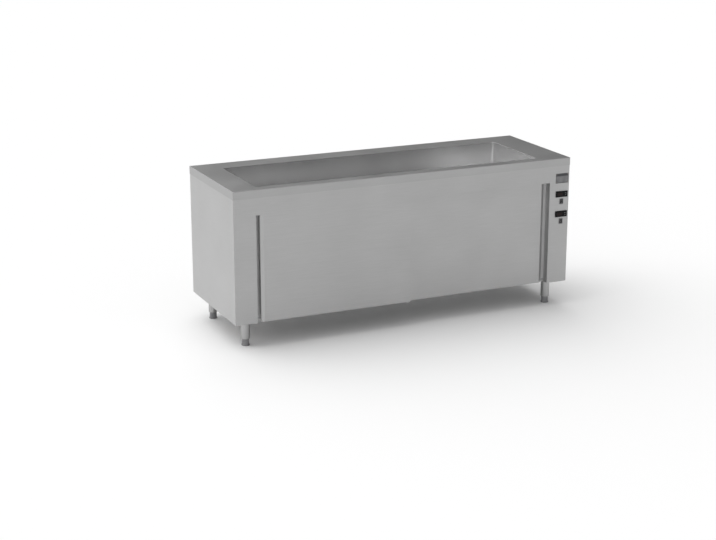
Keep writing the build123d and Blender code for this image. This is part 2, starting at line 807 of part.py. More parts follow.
def cupboard_heater():
    """Hairpin element along the foot of the cupboard's rear wall."""
    return bent_tube(cupboard_heater_points(), HEATER_BEND_SHARE * CUPBOARD_HEATER_PITCH, HEATER_RADIUS)


def heater_guard():
    """Slotted cover in front of the element; its end plates carry the element's runs."""
    half = GUARD_LENGTH / 2
    front = liner_front - GUARD_DEPTH
    low = base_top + GUARD_LOW
    top = low + GUARD_HEIGHT
    sheet = BRACKET_SHEET
    guard = block(-half, half, front, liner_front, low, top)
    inside = half - sheet
    guard -= block(-inside, inside, front + sheet, liner_front + OVERCUT, low - OVERCUT, top - sheet)
    slot_pitch = (GUARD_LENGTH - GUARD_SLOT_LENGTH) / GUARD_SLOT_COUNT
    row_pitch = GUARD_HEIGHT / (GUARD_SLOT_ROWS + 1)
    for row in range(1, GUARD_SLOT_ROWS + 1):
        z = low + row_pitch * row
        for number in range(GUARD_SLOT_COUNT):
            x0 = -half + slot_pitch * (number + 0.5)
            guard -= block(
                x0,
                x0 + GUARD_SLOT_LENGTH,
                front - OVERCUT,
                front + sheet + OVERCUT,
                z - GUARD_SLOT_HEIGHT / 2,
                z + GUARD_SLOT_HEIGHT / 2,
            )
    element_y = liner_front - GUARD_DEPTH / 2
    for z in (base_top + CUPBOARD_HEATER_LOW, base_top + CUPBOARD_HEATER_LOW + CUPBOARD_HEATER_PITCH):
        start = (-half - OVERCUT, element_y, z)
        guard -= rod(start, (1, 0, 0), HEATER_RADIUS + HEATER_SEAT_GAP, GUARD_LENGTH + 2 * OVERCUT)
    return guard


# Door tracks


def track_channel(line):
    """One box channel with a slot along its underside, centred on a door's line."""
    end = opening_half
    channel = block(-end, end, line - track_half, line + track_half, track_low, track_top)
    channel -= block(-end, end, line - track_room, line + track_room, track_floor, track_roof)
    return channel - block(-end, end, line - slot_half, line + slot_half, track_low, track_floor)


def door_tracks():
    """Both channels, joined by a bridge that hangs from the worktop by a web."""
    end = opening_half
    tracks = track_channel(outer_line) + track_channel(inner_line)
    bridge_top = track_top + TRACK_SHEET
    tracks += block(-end, end, outer_line - track_half, inner_line + track_half, track_top, bridge_top)
    web = (outer_line + inner_line) / 2
    tracks += block(-end, end, web - TRACK_SHEET / 2, web + TRACK_SHEET / 2, bridge_top, under_top)
    return tracks + block(
        -end, end, web - TRACK_SHEET / 2, web + TRACK_FLANGE, under_top - TRACK_SHEET, under_top
    )


def hanger_places(left_edge):
    """X of the two hangers of a door, from its left edge."""
    return (left_edge + HANGER_INSET, left_edge + door_width - HANGER_INSET)


left_door_edge = -opening_half + FINGER_GAP
right_door_edge = opening_half - FINGER_GAP - door_width
door_lines = {"left": outer_line, "right": inner_line}
door_edges = {"left": left_door_edge, "right": right_door_edge}


def track_stops():
    """Rubber blocks in the channels that end each door's travel."""
    reach = max(ROLLER_RADIUS, HANGER_WIDTH / 2) + STOP_GAP
    stops = []
    for line, left_edge in ((outer_line, left_door_edge), (inner_line, right_door_edge - door_travel)):
        first = hanger_places(left_edge)[0] - reach
        last = hanger_places(left_edge + door_travel)[1] + reach
        for x0 in (first - STOP_LENGTH, last):
            stops.append(
                block(x0, x0 + STOP_LENGTH, line - track_room, line + track_room, track_floor, track_roof)
            )
    return stops


def bottom_guide():
    """Plate under the base's front lip with a fin for each door, where the doors overlap."""
    fin_depth = door_half - GUIDE_FIN_THICKNESS / 2
    pull_reach = PULL_WIDTH + (DOOR_SHEET * pull_slant - PULL_WIDTH * fin_depth) / PULL_DEPTH
    half = DOOR_OVERLAP / 2 - max(DOOR_SHEET, pull_reach) - GUIDE_END_CLEARANCE
    front = outer_line - GUIDE_FIN_THICKNESS / 2 - GUIDE_MARGIN
    guide = block(
        -half, half, front, jamb_front + PANEL_FLANGE - GUIDE_MARGIN, body_low - GUIDE_PLATE, body_low
    )
    for line in (outer_line, inner_line):
        guide += block(
            -half,
            half,
            line - GUIDE_FIN_THICKNESS / 2,
            line + GUIDE_FIN_THICKNESS / 2,
            body_low,
            door_low + GUIDE_FIN_HEIGHT,
        )
    return guide


# Doors


def door_outline(x0, y0, inset, back, pull):
    """Plan of a door with a slanted pull edge on its outer side: pull is -1 at the left, 1 at the right."""
    x1 = x0 + door_width
    fall = PULL_DEPTH + inset * pull_edge_share
    run = PULL_WIDTH + inset * pull_face_share
    corners = [
        (x0 + inset, back),
        (x0 + inset, y0 + fall),
        (x0 + run, y0 + inset),
        (x1 - inset, y0 + inset),
        (x1 - inset, back),
    ]
    if pull > 0:
        corners = [(x0 + x1 - x, y) for x, y in corners]
    return make_face(Polyline(*corners, close=True))


def door_skin(name):
    """Front pan of a door, slotted underneath for the guide."""
    x0 = door_edges[name]
    line = door_lines[name]
    pull = -1 if name == "left" else 1
    front, back = line - door_half, line + door_half
    sheet = DOOR_SHEET
    outer = door_outline(x0, front, 0.0, back, pull)
    inner = door_outline(x0, front, sheet, back + OVERCUT, pull)
    skin = extrude(Pos(0, 0, door_low) * outer, amount=door_top - door_low)
    skin -= extrude(Pos(0, 0, door_low + sheet) * inner, amount=door_top - door_low - 2 * sheet)
    return skin - block(
        x0 + sheet,
        x0 + door_width - sheet,
        line - guide_slot_half,
        back + OVERCUT,
        door_low - OVERCUT,
        door_low + sheet,
    )


def door_liner(name):
    """Back pan of a door, set inside the skin's folded edges."""
    sheet = DOOR_SHEET
    x0 = door_edges[name] + sheet
    x1 = door_edges[name] + door_width - sheet
    line = door_lines[name]
    pull_depth = PULL_DEPTH + sheet * pull_edge_share - door_half
    front, back = line + max(guide_slot_half, pull_depth), line + door_half
    liner = block(x0, x1, front, back, door_low, door_top - sheet)
    return liner - block(
        x0 + sheet, x1 - sheet, front - OVERCUT, back - sheet, door_low + sheet, door_top - 2 * sheet
    )


def door_hangers(name):
    """Two brackets on the door's top edge whose plates pass up through the track's slot."""
    line = door_lines[name]
    hangers = []
    for x in hanger_places(door_edges[name]):
        half_foot = HANGER_FOOT_LENGTH / 2
        foot = block(x - half_foot, x + half_foot, line - track_room, line + track_room, door_top, foot_top)
        half_plate = HANGER_THICKNESS / 2
        plate = block(
            x - HANGER_WIDTH / 2,
            x + HANGER_WIDTH / 2,
            line - half_plate,
            line + half_plate,
            foot_top,
            axle_height + HANGER_EYE,
        )
        eye_start = (x, line - half_plate - OVERCUT, axle_height)
        eye = rod(eye_start, (0, 1, 0), AXLE_RADIUS + RUNNING_CLEARANCE, HANGER_THICKNESS + 2 * OVERCUT)
        hangers.append(foot + plate - eye)
    return hangers


def roller_pair(x, line):
    """Two wheels on one axle, one wheel on each side of the hanger's plate."""
    pair = rod((x, line - roller_half, axle_height), (0, 1, 0), AXLE_RADIUS, 2 * roller_half)
    for start in (line - roller_half, line + roller_half - ROLLER_WIDTH):
        pair += rod((x, start, axle_height), (0, 1, 0), ROLLER_RADIUS, ROLLER_WIDTH)
    return pair


# Legs


def leg_places():
    """X and Y of each leg, by the name of its corner."""
    return {
        "front_left": (-leg_x, -leg_y),
        "front_right": (leg_x, -leg_y),
        "back_left": (-leg_x, leg_y),
        "back_right": (leg_x, leg_y),
    }


def leg_plates():
    """Plates under the base pan that the legs are welded to."""
    half_x = LEG_PLATE_LENGTH / 2
    half_y = LEG_PLATE_WIDTH / 2
    return [
        block(x - half_x, x + half_x, y - half_y, y + half_y, leg_top, base_under)
        for x, y in leg_places().values()
    ]


def leg_tubes():
    """Round legs, each closed at its foot by a plug that takes the foot's stem."""
    legs = []
    for x, y in leg_places().values():
        leg = rod((x, y, FOOT_HEIGHT), (0, 0, 1), LEG_RADIUS, leg_top - FOOT_HEIGHT)
        plug_top = FOOT_HEIGHT + LEG_PLUG
        leg -= rod((x, y, plug_top), (0, 0, 1), LEG_RADIUS - LEG_WALL, leg_top - plug_top)
        hole_low = (x, y, FOOT_HEIGHT - OVERCUT)
        leg -= rod(hole_low, (0, 0, 1), FOOT_STEM_RADIUS + RUNNING_CLEARANCE, LEG_PLUG + 2 * OVERCUT)
        legs.append(leg)
    return legs


def foot(x, y):
    """Levelling foot: a floor pad, a neck and a stem that runs in the leg's plug."""
    pad = rod((x, y, 0), (0, 0, 1), FOOT_PAD_RADIUS, FOOT_PAD_HEIGHT)
    neck = rod((x, y, FOOT_PAD_HEIGHT), (0, 0, 1), FOOT_NECK_RADIUS, FOOT_HEIGHT - FOOT_PAD_HEIGHT)
    stem_length = LEG_PLUG + FOOT_TRAVEL - FOOT_STEM_HOLD
    return pad + neck + rod((x, y, FOOT_HEIGHT), (0, 0, 1), FOOT_STEM_RADIUS, stem_length)


# Controls


def centred_block(x, z, half_x, half_z, y0, y1):
    """A box centred on a point of the control column's front."""
    return block(x - half_x, x + half_x, y0, y1, z - half_z, z + half_z)


def key_places(height):
    """X and Z of the two keys of a thermostat."""
    return ((control_x + KEY_SHIFT, height + KEY_PITCH / 2), (control_x + KEY_SHIFT, height - KEY_PITCH / 2))


def thermostat(height):
    """Digital thermostat: a bezel in front of the column and its case behind."""
    half_x, half_z = THERMOSTAT_WIDTH / 2, THERMOSTAT_HEIGHT / 2
    case = centred_block(control_x, height, half_x, half_z, bezel_front, front_plane)
    case += centred_block(
        control_x,
        height,
        half_x - THERMOSTAT_LIP,
        half_z - THERMOSTAT_LIP,
        front_plane,
        front_plane + THERMOSTAT_DEPTH,
    )
    case -= centred_block(
        control_x - WINDOW_SHIFT,
        height,
        WINDOW_WIDTH / 2,
        WINDOW_HEIGHT / 2,
        bezel_front - OVERCUT,
        bezel_front + WINDOW_THICKNESS,
    )
    for x, z in key_places(height):
        case -= centred_block(
            x,
            z,
            KEY_WIDTH / 2 + KEY_CLEARANCE,
            KEY_HEIGHT / 2 + KEY_CLEARANCE,
            bezel_front - OVERCUT,
            bezel_front + KEY_DEPTH + KEY_TRAVEL + KEY_CLEARANCE,
        )
    return case


def display_windows():
    """Clear windows, flush in the thermostats' bezels."""
    return [
        centred_block(
            control_x - WINDOW_SHIFT,
            height,
            WINDOW_WIDTH / 2,
            WINDOW_HEIGHT / 2,
            bezel_front,
            bezel_front + WINDOW_THICKNESS,
        )
        for height in control_heights
    ]


def key(place):
    """One thermostat key, a little proud of the bezel."""
    x, z = place
    key_front = bezel_front - KEY_PROUD
    return centred_block(x, z, KEY_WIDTH / 2, KEY_HEIGHT / 2, key_front, bezel_front + KEY_DEPTH)


def rocker_frames():
    """Switch bodies with the pocket that each rocker tips in and the holes for its pivot pins."""
    frames = []
    for height in control_heights:
        z = height - SWITCH_DROP
        half_x, half_z = SWITCH_WIDTH / 2, SWITCH_HEIGHT / 2
        frame = centred_block(control_x, z, half_x, half_z, switch_front, front_plane)
        half_x, half_z = half_x - SWITCH_LIP, half_z - SWITCH_LIP
        frame += centred_block(control_x, z, half_x, half_z, front_plane, front_plane + SWITCH_DEPTH)
        half_x, half_z = half_x - SWITCH_WALL, half_z - SWITCH_WALL
        pocket_back = front_plane + SWITCH_DEPTH - SWITCH_WALL
        frame -= centred_block(control_x, z, half_x, half_z, switch_front - OVERCUT, pocket_back)
        pin_half = rocker_half_width + ROCKER_PIN_LENGTH + ROCKER_PIN_END_GAP
        pin_start = (control_x - pin_half, rocker_pivot_y, z)
        frame -= rod(pin_start, (1, 0, 0), ROCKER_PIN_RADIUS + RUNNING_CLEARANCE, 2 * pin_half)
        frames.append(frame)
    return frames


def rocker(height):
    """Rocker cap with a pivot pin at each side, tipped to its off side at rest about X."""
    top = rocker_half_height
    back = ROCKER_BACK
    outline = Polyline(
        (-ROCKER_PROUD, -top),
        (-ROCKER_VALLEY, 0),
        (-ROCKER_PROUD, top),
        (0, top),
        (back, top / 2),
        (back, -top / 2),
        (0, -top),
        close=True,
    )
    section = Plane(origin=(-rocker_half_width, 0, 0), x_dir=(0, 1, 0), z_dir=(1, 0, 0))
    cap = extrude(section * make_face(outline), amount=2 * rocker_half_width)
    pin_half = rocker_half_width + ROCKER_PIN_LENGTH
    cap += rod((-pin_half, 0, 0), (1, 0, 0), ROCKER_PIN_RADIUS, 2 * pin_half)
    return Pos(control_x, rocker_pivot_y, height - SWITCH_DROP) * Rot(-ROCKER_TILT, 0, 0) * cap


def blank_plate():
    """Plain plate on the control column."""
    return centred_block(
        control_x, plate_height, PLATE_WIDTH / 2, PLATE_HEIGHT / 2, front_plane - PLATE_SHEET, front_plane
    )


def contactors():
    """Contactors on the right liner, one for each heating circuit."""
    pieces = []
    wall = opening_half + PANEL_SHEET
    low = base_top + CONTACTOR_RISE
    top = low + CONTACTOR_HEIGHT
    step = CONTACTOR_STEP
    for number in range(len(control_heights)):
        y0 = CONTACTOR_FRONT + number * (CONTACTOR_WIDTH + CONTACTOR_GAP)
        y1 = y0 + CONTACTOR_WIDTH
        body = block(wall, wall + CONTACTOR_DEPTH - step, y0, y1, low, top)
        nose = block(wall, wall + CONTACTOR_DEPTH, y0, y1, low + step, top - step)
        pieces.append(body + nose)
    return pieces


def cable_gland():
    """Gland in the base pan for the mains cable."""
    low = base_under - GLAND_HEX_HEIGHT - GLAND_DOME_HEIGHT
    thread_low = (compartment_x, gland_y, base_under)
    gland = rod(thread_low, (0, 0, 1), GLAND_RADIUS, PANEL_SHEET + GLAND_THREAD)
    hexagon = Pos(compartment_x, gland_y, base_under - GLAND_HEX_HEIGHT) * RegularPolygon(GLAND_HEX, 6)
    gland += extrude(hexagon, amount=GLAND_HEX_HEIGHT)
    gland += rod((compartment_x, gland_y, low), (0, 0, 1), GLAND_RADIUS, GLAND_DOME_HEIGHT)
    length = base_top + GLAND_THREAD - low + 2 * OVERCUT
    return gland - rod((compartment_x, gland_y, low - OVERCUT), (0, 0, 1), GLAND_BORE, length)


# All pieces by name

nodes = {
    "worktop": worktop(),
    "well_tank": well_tank(),
    "well_heater": well_heater(),
    "heater_clamps": heater_clamps(),
    "well_insulation": well_insulation(),
    "cupboard_ceiling": cupboard_ceiling(),
    "drain_fitting": drain_fitting(),
    "overflow_standpipe": overflow_standpipe(),
    "drain_pipe": drain_pipe(),
    "valve_body": valve_body(),
    "valve_ball": valve_ball(),
    "valve_lever": valve_lever(),
    "base_pan": base_pan(),
    "left_side_panel": side_panel(-1),
    "right_side_panel": side_panel(1),
    "back_panel": back_panel(),
    "panel_screws": panel_screws(),
    "front_fascia": front_fascia(),
    "left_column": column(-1),
    "control_column": control_column(),
    "door_surround": door_surround(),
    "side_liners": side_liners(),
    "back_liner": back_liner(),
    "back_insulation": back_insulation(),
    "cupboard_shelf": cupboard_shelf(),
    "shelf_supports": shelf_supports(),
    "cupboard_heater": cupboard_heater(),
    "heater_guard": heater_guard(),
    "door_tracks": door_tracks(),
    "track_stops": track_stops(),
    "bottom_guide": bottom_guide(),
    "leg_plates": leg_plates(),
    "leg_tubes": leg_tubes(),
    "well_thermostat": thermostat(well_control),
    "cupboard_thermostat": thermostat(cupboard_control),
    "display_windows": display_windows(),
    "rocker_frames": rocker_frames(),
    "well_rocker": rocker(well_control),
    "cupboard_rocker": rocker(cupboard_control),
    "blank_plate": blank_plate(),
    "contactors": contactors(),
    "cable_gland": cable_gland(),
}
for door in ("left", "right"):
    nodes[f"{door}_door_skin"] = door_skin(door)
    nodes[f"{door}_door_liner"] = door_liner(door)
    nodes[f"{door}_door_hangers"] = door_hangers(door)
    for end, hanger_x in zip(("left", "right"), hanger_places(door_edges[door])):
        nodes[f"{door}_door_{end}_rollers"] = roller_pair(hanger_x, door_lines[door])
for corner, (foot_x, foot_y) in leg_places().items():
    nodes[f"{corner}_foot"] = foot(foot_x, foot_y)
for circuit, control_height in zip(("well", "cupboard"), control_heights):
    for use, key_place in zip(("up", "down"), key_places(control_height)):
        nodes[f"{circuit}_{use}_key"] = key(key_place)

os.makedirs("parts", exist_ok=True)
for node_name, shape in nodes.items():
    pieces = shape if isinstance(shape, list) else [shape]
    solids = [solid for piece in pieces for solid in piece.solids()]
    export_step(Compound(children=solids, label=node_name), f"parts/{node_name}.step")
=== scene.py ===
"""Looks of a bain marie counter: sheet steel finishes, small fittings, studio and camera.

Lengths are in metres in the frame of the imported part, apart from names that end in _mm: X runs
to the right along the counter, minus Y faces its user and Z is up from the floor.
"""

import logging
import math
from collections.abc import Callable
from dataclasses import dataclass
from enum import Enum

import bmesh
import bpy
from mathutils import Matrix, Vector


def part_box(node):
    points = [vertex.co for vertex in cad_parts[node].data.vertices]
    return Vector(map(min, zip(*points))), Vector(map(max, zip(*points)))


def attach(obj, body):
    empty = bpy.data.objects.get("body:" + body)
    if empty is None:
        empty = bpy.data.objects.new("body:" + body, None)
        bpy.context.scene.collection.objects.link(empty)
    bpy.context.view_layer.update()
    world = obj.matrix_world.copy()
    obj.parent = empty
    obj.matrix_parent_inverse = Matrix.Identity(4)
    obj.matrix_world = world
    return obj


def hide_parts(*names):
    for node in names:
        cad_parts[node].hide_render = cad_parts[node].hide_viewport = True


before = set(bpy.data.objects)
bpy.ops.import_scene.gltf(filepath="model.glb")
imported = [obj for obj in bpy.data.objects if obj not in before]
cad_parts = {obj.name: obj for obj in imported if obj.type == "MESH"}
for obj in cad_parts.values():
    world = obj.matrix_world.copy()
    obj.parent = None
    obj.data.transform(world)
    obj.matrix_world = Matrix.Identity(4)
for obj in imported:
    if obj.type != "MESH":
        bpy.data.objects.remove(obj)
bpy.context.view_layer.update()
LOG = logging.getLogger("bain_marie_counter")
MM = 0.001
# Socket numbers of a colour Mix node, whose names repeat for each kind of value.
MIX_A, MIX_B, MIX_RESULT = 6, 7, 2
# Most values of a noise pattern lie between these two.
NOISE_LOW, NOISE_HIGH = 0.3, 0.7
# Edges past the first angle count as sharp. Before those of a CAD node are rounded, points that
# meet are joined, and so are faces that lean less than the second angle.
SMOOTH_ANGLE = math.radians(32.0)
FLAT_ANGLE = math.radians(0.5)
JOIN_MM = 0.001
EDGE_SEGMENTS = 2
FRONT = Vector((0.0, -1.0, 0.0))
BACK = Vector((0.0, 1.0, 0.0))
UP = Vector((0.0, 0.0, 1.0))
DOWN = Vector((0.0, 0.0, -1.0))

# The outline of a turned form is one radius, or a radius by angle.
Outline = float | Callable[[float], float]
Colour = tuple[float, float, float, float]


def linear_colour(code: str, gain: float = 1.0) -> Colour:
    """Turn an sRGB hex value into the linear colour that a shader takes.

    Args:
        code: Six hex digits.
        gain: Factor on the linear value, for lighter and darker shades of one colour.

    Returns:
        Red, green, blue and an alpha of one.
    """
    shares = [int(code[start:start + 2], 16) / 255 for start in (0, 2, 4)]
    red, green, blue = (s / 12.92 if s <= 0.04045 else ((s + 0.055) / 1.055) ** 2.4 for s in shares)
    return red * gain, green * gain, blue * gain, 1.0


def add_node(
    tree: bpy.types.NodeTree, kind: str, settings: dict | None = None, links: dict | None = None
) -> bpy.types.Node:
    """Add one shader node, set it up and wire its inputs.

    Args:
        tree: Node tree of a material or of the world.
        kind: Blender's type name of the node.
        settings: Values by attribute name, or by the name or number of an input.
        links: Output sockets by the name or number of the input that each one feeds.

    Returns:
        The new node.
    """
    node = tree.nodes.new(kind)
    for key, value in (settings or {}).items():
        if isinstance(key, str) and hasattr(node, key):
            setattr(node, key, value)
        else:
            node.inputs[key].default_value = value
    for key, socket in (links or {}).items():
        tree.links.new(socket, node.inputs[key])
    return node


# Finishes


class GrainAxis(Enum):
    """Way in which the brush lines of a sheet run."""

    X = 0
    Y = 1
    Z = 2


@dataclass(frozen=True)
class Finish:
    """A surface finish that becomes one material the first time it is used.

    Attributes:
        name: Name of the material.
        tint: Main colour as sRGB hex.
        roughness: Mean roughness of the surface.
    """

    name: str
    tint: str
    roughness: float

    def material(self) -> bpy.types.Material:
        """Return the material of this finish, and build it on first use.

        Returns:
            The one material of this name.
        """
        made = bpy.data.materials.get(self.name)
        if made is None:
            made = bpy.data.materials.new(self.name)
            made.use_nodes = True
            tree = made.node_tree
            tree.nodes.clear()
            shader = self.shade(tree)
            add_node(tree, "ShaderNodeOutputMaterial", links={"Surface": shader.outputs[0]})
        return made

    def shade(self, tree: bpy.types.NodeTree) -> bpy.types.Node:
        """Add the nodes of this finish.

        Args:
            tree: Empty node tree of the material.

        Returns:
            The shader node that feeds the output.
        """
        raise NotImplementedError

    def pattern(
        self, tree: bpy.types.NodeTree, size_mm: tuple[float, float, float], detail: float = 2.0
    ) -> bpy.types.NodeSocket:
        """Add soft noise whose blobs have a real size along X, Y and Z.

        Args:
            tree: Node tree of the material.
            size_mm: Length of a blob along each axis.
            detail: Octaves of finer noise.

        Returns:
            Socket that gives 0 to 1, mostly near the middle.
        """
        scale = [1.0 / (size * MM) for size in size_mm]
        place = add_node(tree, "ShaderNodeTexCoord").outputs["Object"]
        mapped = add_node(tree, "ShaderNodeMapping", {"Scale": scale}, {"Vector": place})
        settings = {"Scale": 1.0, "Detail": detail}
        noise = add_node(tree, "ShaderNodeTexNoise", settings, {"Vector": mapped.outputs[0]})
        return noise.outputs["Fac"]

    def blend(
        self, tree: bpy.types.NodeTree, share: bpy.types.NodeSocket, low: Colour, high: Colour
    ) -> bpy.types.NodeSocket:
        """Add a colour that goes from low to high as a pattern rises.

        Args:
            tree: Node tree of the material.
            share: Pattern from 0 to 1.
            low: Linear colour where the pattern is low.
            high: Linear colour where the pattern is high.

        Returns:
            Colour socket.
        """
        settings = {"data_type": "RGBA", MIX_A: low, MIX_B: high}
        wide = self.vary(tree, share, 0.5, 0.5)
        return add_node(tree, "ShaderNodeMix", settings, {0: wide}).outputs[MIX_RESULT]

    def vary(
        self, tree: bpy.types.NodeTree, share: bpy.types.NodeSocket, middle: float, swing: float
    ) -> bpy.types.NodeSocket:
        """Add a number that swings about a middle value with a pattern.

        Args:
            tree: Node tree of the material.
            share: Pattern from 0 to 1.
            middle: Value at the pattern's middle.
            swing: How far the value goes to each side.

        Returns:
            Value socket.
        """
        settings = {
            "From Min": NOISE_LOW,
            "From Max": NOISE_HIGH,
            "To Min": middle - swing,
            "To Max": middle + swing,
        }
        return add_node(tree, "ShaderNodeMapRange", settings, {"Value": share}).outputs[0]

    def relief(
        self, tree: bpy.types.NodeTree, height: bpy.types.NodeSocket, depth_mm: float
    ) -> bpy.types.NodeSocket:
        """Add a bump as deep as the real relief.

        Args:
            tree: Node tree of the material.
            height: Pattern from 0 to 1.
            depth_mm: Depth of the relief.

        Returns:
            Normal socket.
        """
        depth = {"Distance": depth_mm * MM}
        return add_node(tree, "ShaderNodeBump", depth, {"Height": height}).outputs["Normal"]


@dataclass(frozen=True)
class BrushedStainless(Finish):
    """Stainless sheet with a belt-brushed grain.

    The eye sees a soft grey mirror: fine straight lines that stretch each reflection, and faint
    patches where hands and cloths have passed.
    """

    grain: GrainAxis = GrainAxis.X
    grain_width_mm: float = 1.1  # real lines are near 0.1 mm, too fine to show in a render
    grain_length_mm: float = 110.0
    grain_depth_mm: float = 0.012
    grain_octaves: float = 3.0
    grain_dulling: float = 0.08
    streak: float = 0.05
    patch_mm: float = 240.0
    patch_dulling: float = 0.03

    def shade(self, tree: bpy.types.NodeTree) -> bpy.types.Node:
        """Add the grain, the patches and the metal.

        Args:
            tree: Empty node tree of the material.

        Returns:
            The metal's shader node.
        """
        size = [self.grain_width_mm] * 3
        size[self.grain.value] = self.grain_length_mm
        lines = self.pattern(tree, tuple(size), self.grain_octaves)
        patches = self.pattern(tree, (self.patch_mm,) * 3)
        dark = linear_colour(self.tint, 1.0 - self.streak)
        light = linear_colour(self.tint, 1.0 + self.streak)
        smudge = self.vary(tree, patches, self.roughness, self.patch_dulling)
        settings = {"operation": "MULTIPLY_ADD", 1: self.grain_dulling}
        rough = add_node(tree, "ShaderNodeMath", settings, {0: lines, 2: smudge})
        return add_node(
            tree,
            "ShaderNodeBsdfPrincipled",
            {"Metallic": 1.0},
            {
                "Base Color": self.blend(tree, lines, dark, light),
                "Roughness": rough.outputs[0],
                "Normal": self.relief(tree, lines, self.grain_depth_mm),
            },
        )


@dataclass(frozen=True)
class ZincSheet(Finish):
    """Hot-dip galvanised sheet: a mosaic of pale and darker zinc crystals, dull to bright."""

    spangle_mm: float = 11.0
    dark_share: float = 0.8
    light_share: float = 1.15
    gloss_swing: float = 0.08

    def shade(self, tree: bpy.types.NodeTree) -> bpy.types.Node:
        """Add the crystals and the metal.

        Args:
            tree: Empty node tree of the material.

        Returns:
            The metal's shader node.
        """
        place = add_node(tree, "ShaderNodeTexCoord").outputs["Object"]
        scale = {"Scale": 1.0 / (self.spangle_mm * MM)}
        cells = add_node(tree, "ShaderNodeTexVoronoi", scale, {"Vector": place})
        parts = add_node(tree, "ShaderNodeSeparateColor", links={"Color": cells.outputs["Color"]})
        tone = parts.outputs["Red"]
        dark = linear_colour(self.tint, self.dark_share)
        light = linear_colour(self.tint, self.light_share)
        return add_node(
            tree,
            "ShaderNodeBsdfPrincipled",
            {"Metallic": 1.0},
            {
                "Base Color": self.blend(tree, tone, dark, light),
                "Roughness": self.vary(tree, tone, self.roughness, self.gloss_swing),
            },
        )


@dataclass(frozen=True)
class StainedMetal(Finish):
    """Bare drawn or plated metal with cloudy stains: heat tint on a sheath, tarnish on a pipe.

    The eye sees the clean metal change slowly to the stain's colour and lose some gloss there.
    """

    stain: str = "4a3c34"
    stain_mm: float = 45.0
    stain_octaves: float = 3.0
    stain_dulling: float = 0.1
    grit_mm: float = 1.2  # drawing lines and plating grit are finer than a render shows
    grit_depth_mm: float = 0.01

    def shade(self, tree: bpy.types.NodeTree) -> bpy.types.Node:
        """Add the stains, the grit and the metal.

        Args:
            tree: Empty node tree of the material.

        Returns:
            The metal's shader node.
        """
        clouds = self.pattern(tree, (self.stain_mm,) * 3, self.stain_octaves)
        grit = self.pattern(tree, (self.grit_mm,) * 3)
        clean = linear_colour(self.tint)
        stained = linear_colour(self.stain)
        return add_node(
            tree,
            "ShaderNodeBsdfPrincipled",
            {"Metallic": 1.0},
            {
                "Base Color": self.blend(tree, clouds, clean, stained),
                "Roughness": self.vary(tree, clouds, self.roughness, self.stain_dulling),
                "Normal": self.relief(tree, grit, self.grit_depth_mm),
            },
        )


@dataclass(frozen=True)
class MouldedPlastic(Finish):
    """Plastic or rubber from a spark-eroded mould: an even colour with a fine matt grit."""

    grit_mm: float = 0.6
    grit_depth_mm: float = 0.02
    cloud_mm: float = 18.0
    shade_swing: float = 0.12
    gloss_swing: float = 0.05
    gloss: float = 0.5
    refraction: float = 1.5

    def shade(self, tree: bpy.types.NodeTree) -> bpy.types.Node:
        """Add the grit and the plastic.

        Args:
            tree: Empty node tree of the material.

        Returns:
            The plastic's shader node.
        """
        grit = self.pattern(tree, (self.grit_mm,) * 3)
        clouds = self.pattern(tree, (self.cloud_mm,) * 3)
        dark = linear_colour(self.tint, 1.0 - self.shade_swing)
        light = linear_colour(self.tint, 1.0 + self.shade_swing)
        return add_node(
            tree,
            "ShaderNodeBsdfPrincipled",
            {"IOR": self.refraction, "Specular IOR Level": self.gloss},
            {
                "Base Color": self.blend(tree, clouds, dark, light),
                "Roughness": self.vary(tree, grit, self.roughness, self.gloss_swing),
                "Normal": self.relief(tree, grit, self.grit_depth_mm),
            },
        )


@dataclass(frozen=True)
class MineralWool(Finish):
    """Bonded mineral wool slab: matt yellow-brown fibres lying in loose layers."""

    fibre_mm: float = 1.5  # single fibres are far finer, so the render shows bundles
    fibre_length_mm: float = 14.0
    fibre_octaves: float = 4.0
    dark_share: float = 0.7
    light_share: float = 1.2

    def shade(self, tree: bpy.types.NodeTree) -> bpy.types.Node:
        """Add the fibre bundles and their dull body.

        Args:
            tree: Empty node tree of the material.

        Returns:
            The wool's shader node.
        """
        size = (self.fibre_length_mm, self.fibre_length_mm, self.fibre_mm)
        fibres = self.pattern(tree, size, self.fibre_octaves)
        dark = linear_colour(self.tint, self.dark_share)
        light = linear_colour(self.tint, self.light_share)
        return add_node(
            tree,
            "ShaderNodeBsdfPrincipled",
            {"Roughness": self.roughness},
            {
                "Base Color": self.blend(tree, fibres, dark, light),
                "Normal": self.relief(tree, fibres, self.fibre_mm),
            },
        )


# The outer sheets are belt-brushed along their length, so they blur the room into a soft grey. Their tints
# hold painted light and shade: the side sheet is painted lighter than the front, as its lit side, and the
# top darker, as painted shade.
TOP_STEEL = BrushedStainless("brushed_stainless_top", "adadad", 0.34)
FRONT_STEEL = BrushedStainless("brushed_stainless_front", "b7b7b7", 0.42)
SIDE_STEEL = BrushedStainless("brushed_stainless_side", "bdbdbd", 0.42, GrainAxis.Y)
LEG_STEEL = BrushedStainless("brushed_stainless_tube", "b0b0b0", 0.30, GrainAxis.Z)
# The well is bright cold-rolled sheet, smooth enough for its walls to mirror one another. Its tint is
# painted still lighter than the outer sheets', as painted light that lifts the shade deep in the well.
WELL_STEEL = BrushedStainless("rolled_stainless_well", "dfdfdf", 0.18, grain_depth_mm=0.004, streak=0.03)
# The cupboard's sheet is pickled and dull, and only spreads the light that reaches it.
LINER_STEEL = BrushedStainless("dull_rolled_stainless", "dcdcdc", 0.62, streak=0.03)
# Dipped zinc is a dull blue-grey patchwork.
ZINC = ZincSheet("galvanised_sheet", "9fa3a6", 0.42)
# Heat has coloured the sheath straw brown, with blue-black clouds.
SHEATH = StainedMetal("heat_tinted_sheath", "7d6a52", 0.38, stain="3b3d45")
# Drawn pipe is warm and bright, and brown where it has tarnished.
COPPER = StainedMetal("drawn_copper", "c07c5c", 0.30, stain="7f4c38")
# Plated brass is a bright, slightly yellow mirror with faint cloudy spots.
NICKEL = StainedMetal("nickel_plated_brass", "c2bcae", 0.24, stain="a89f8a")
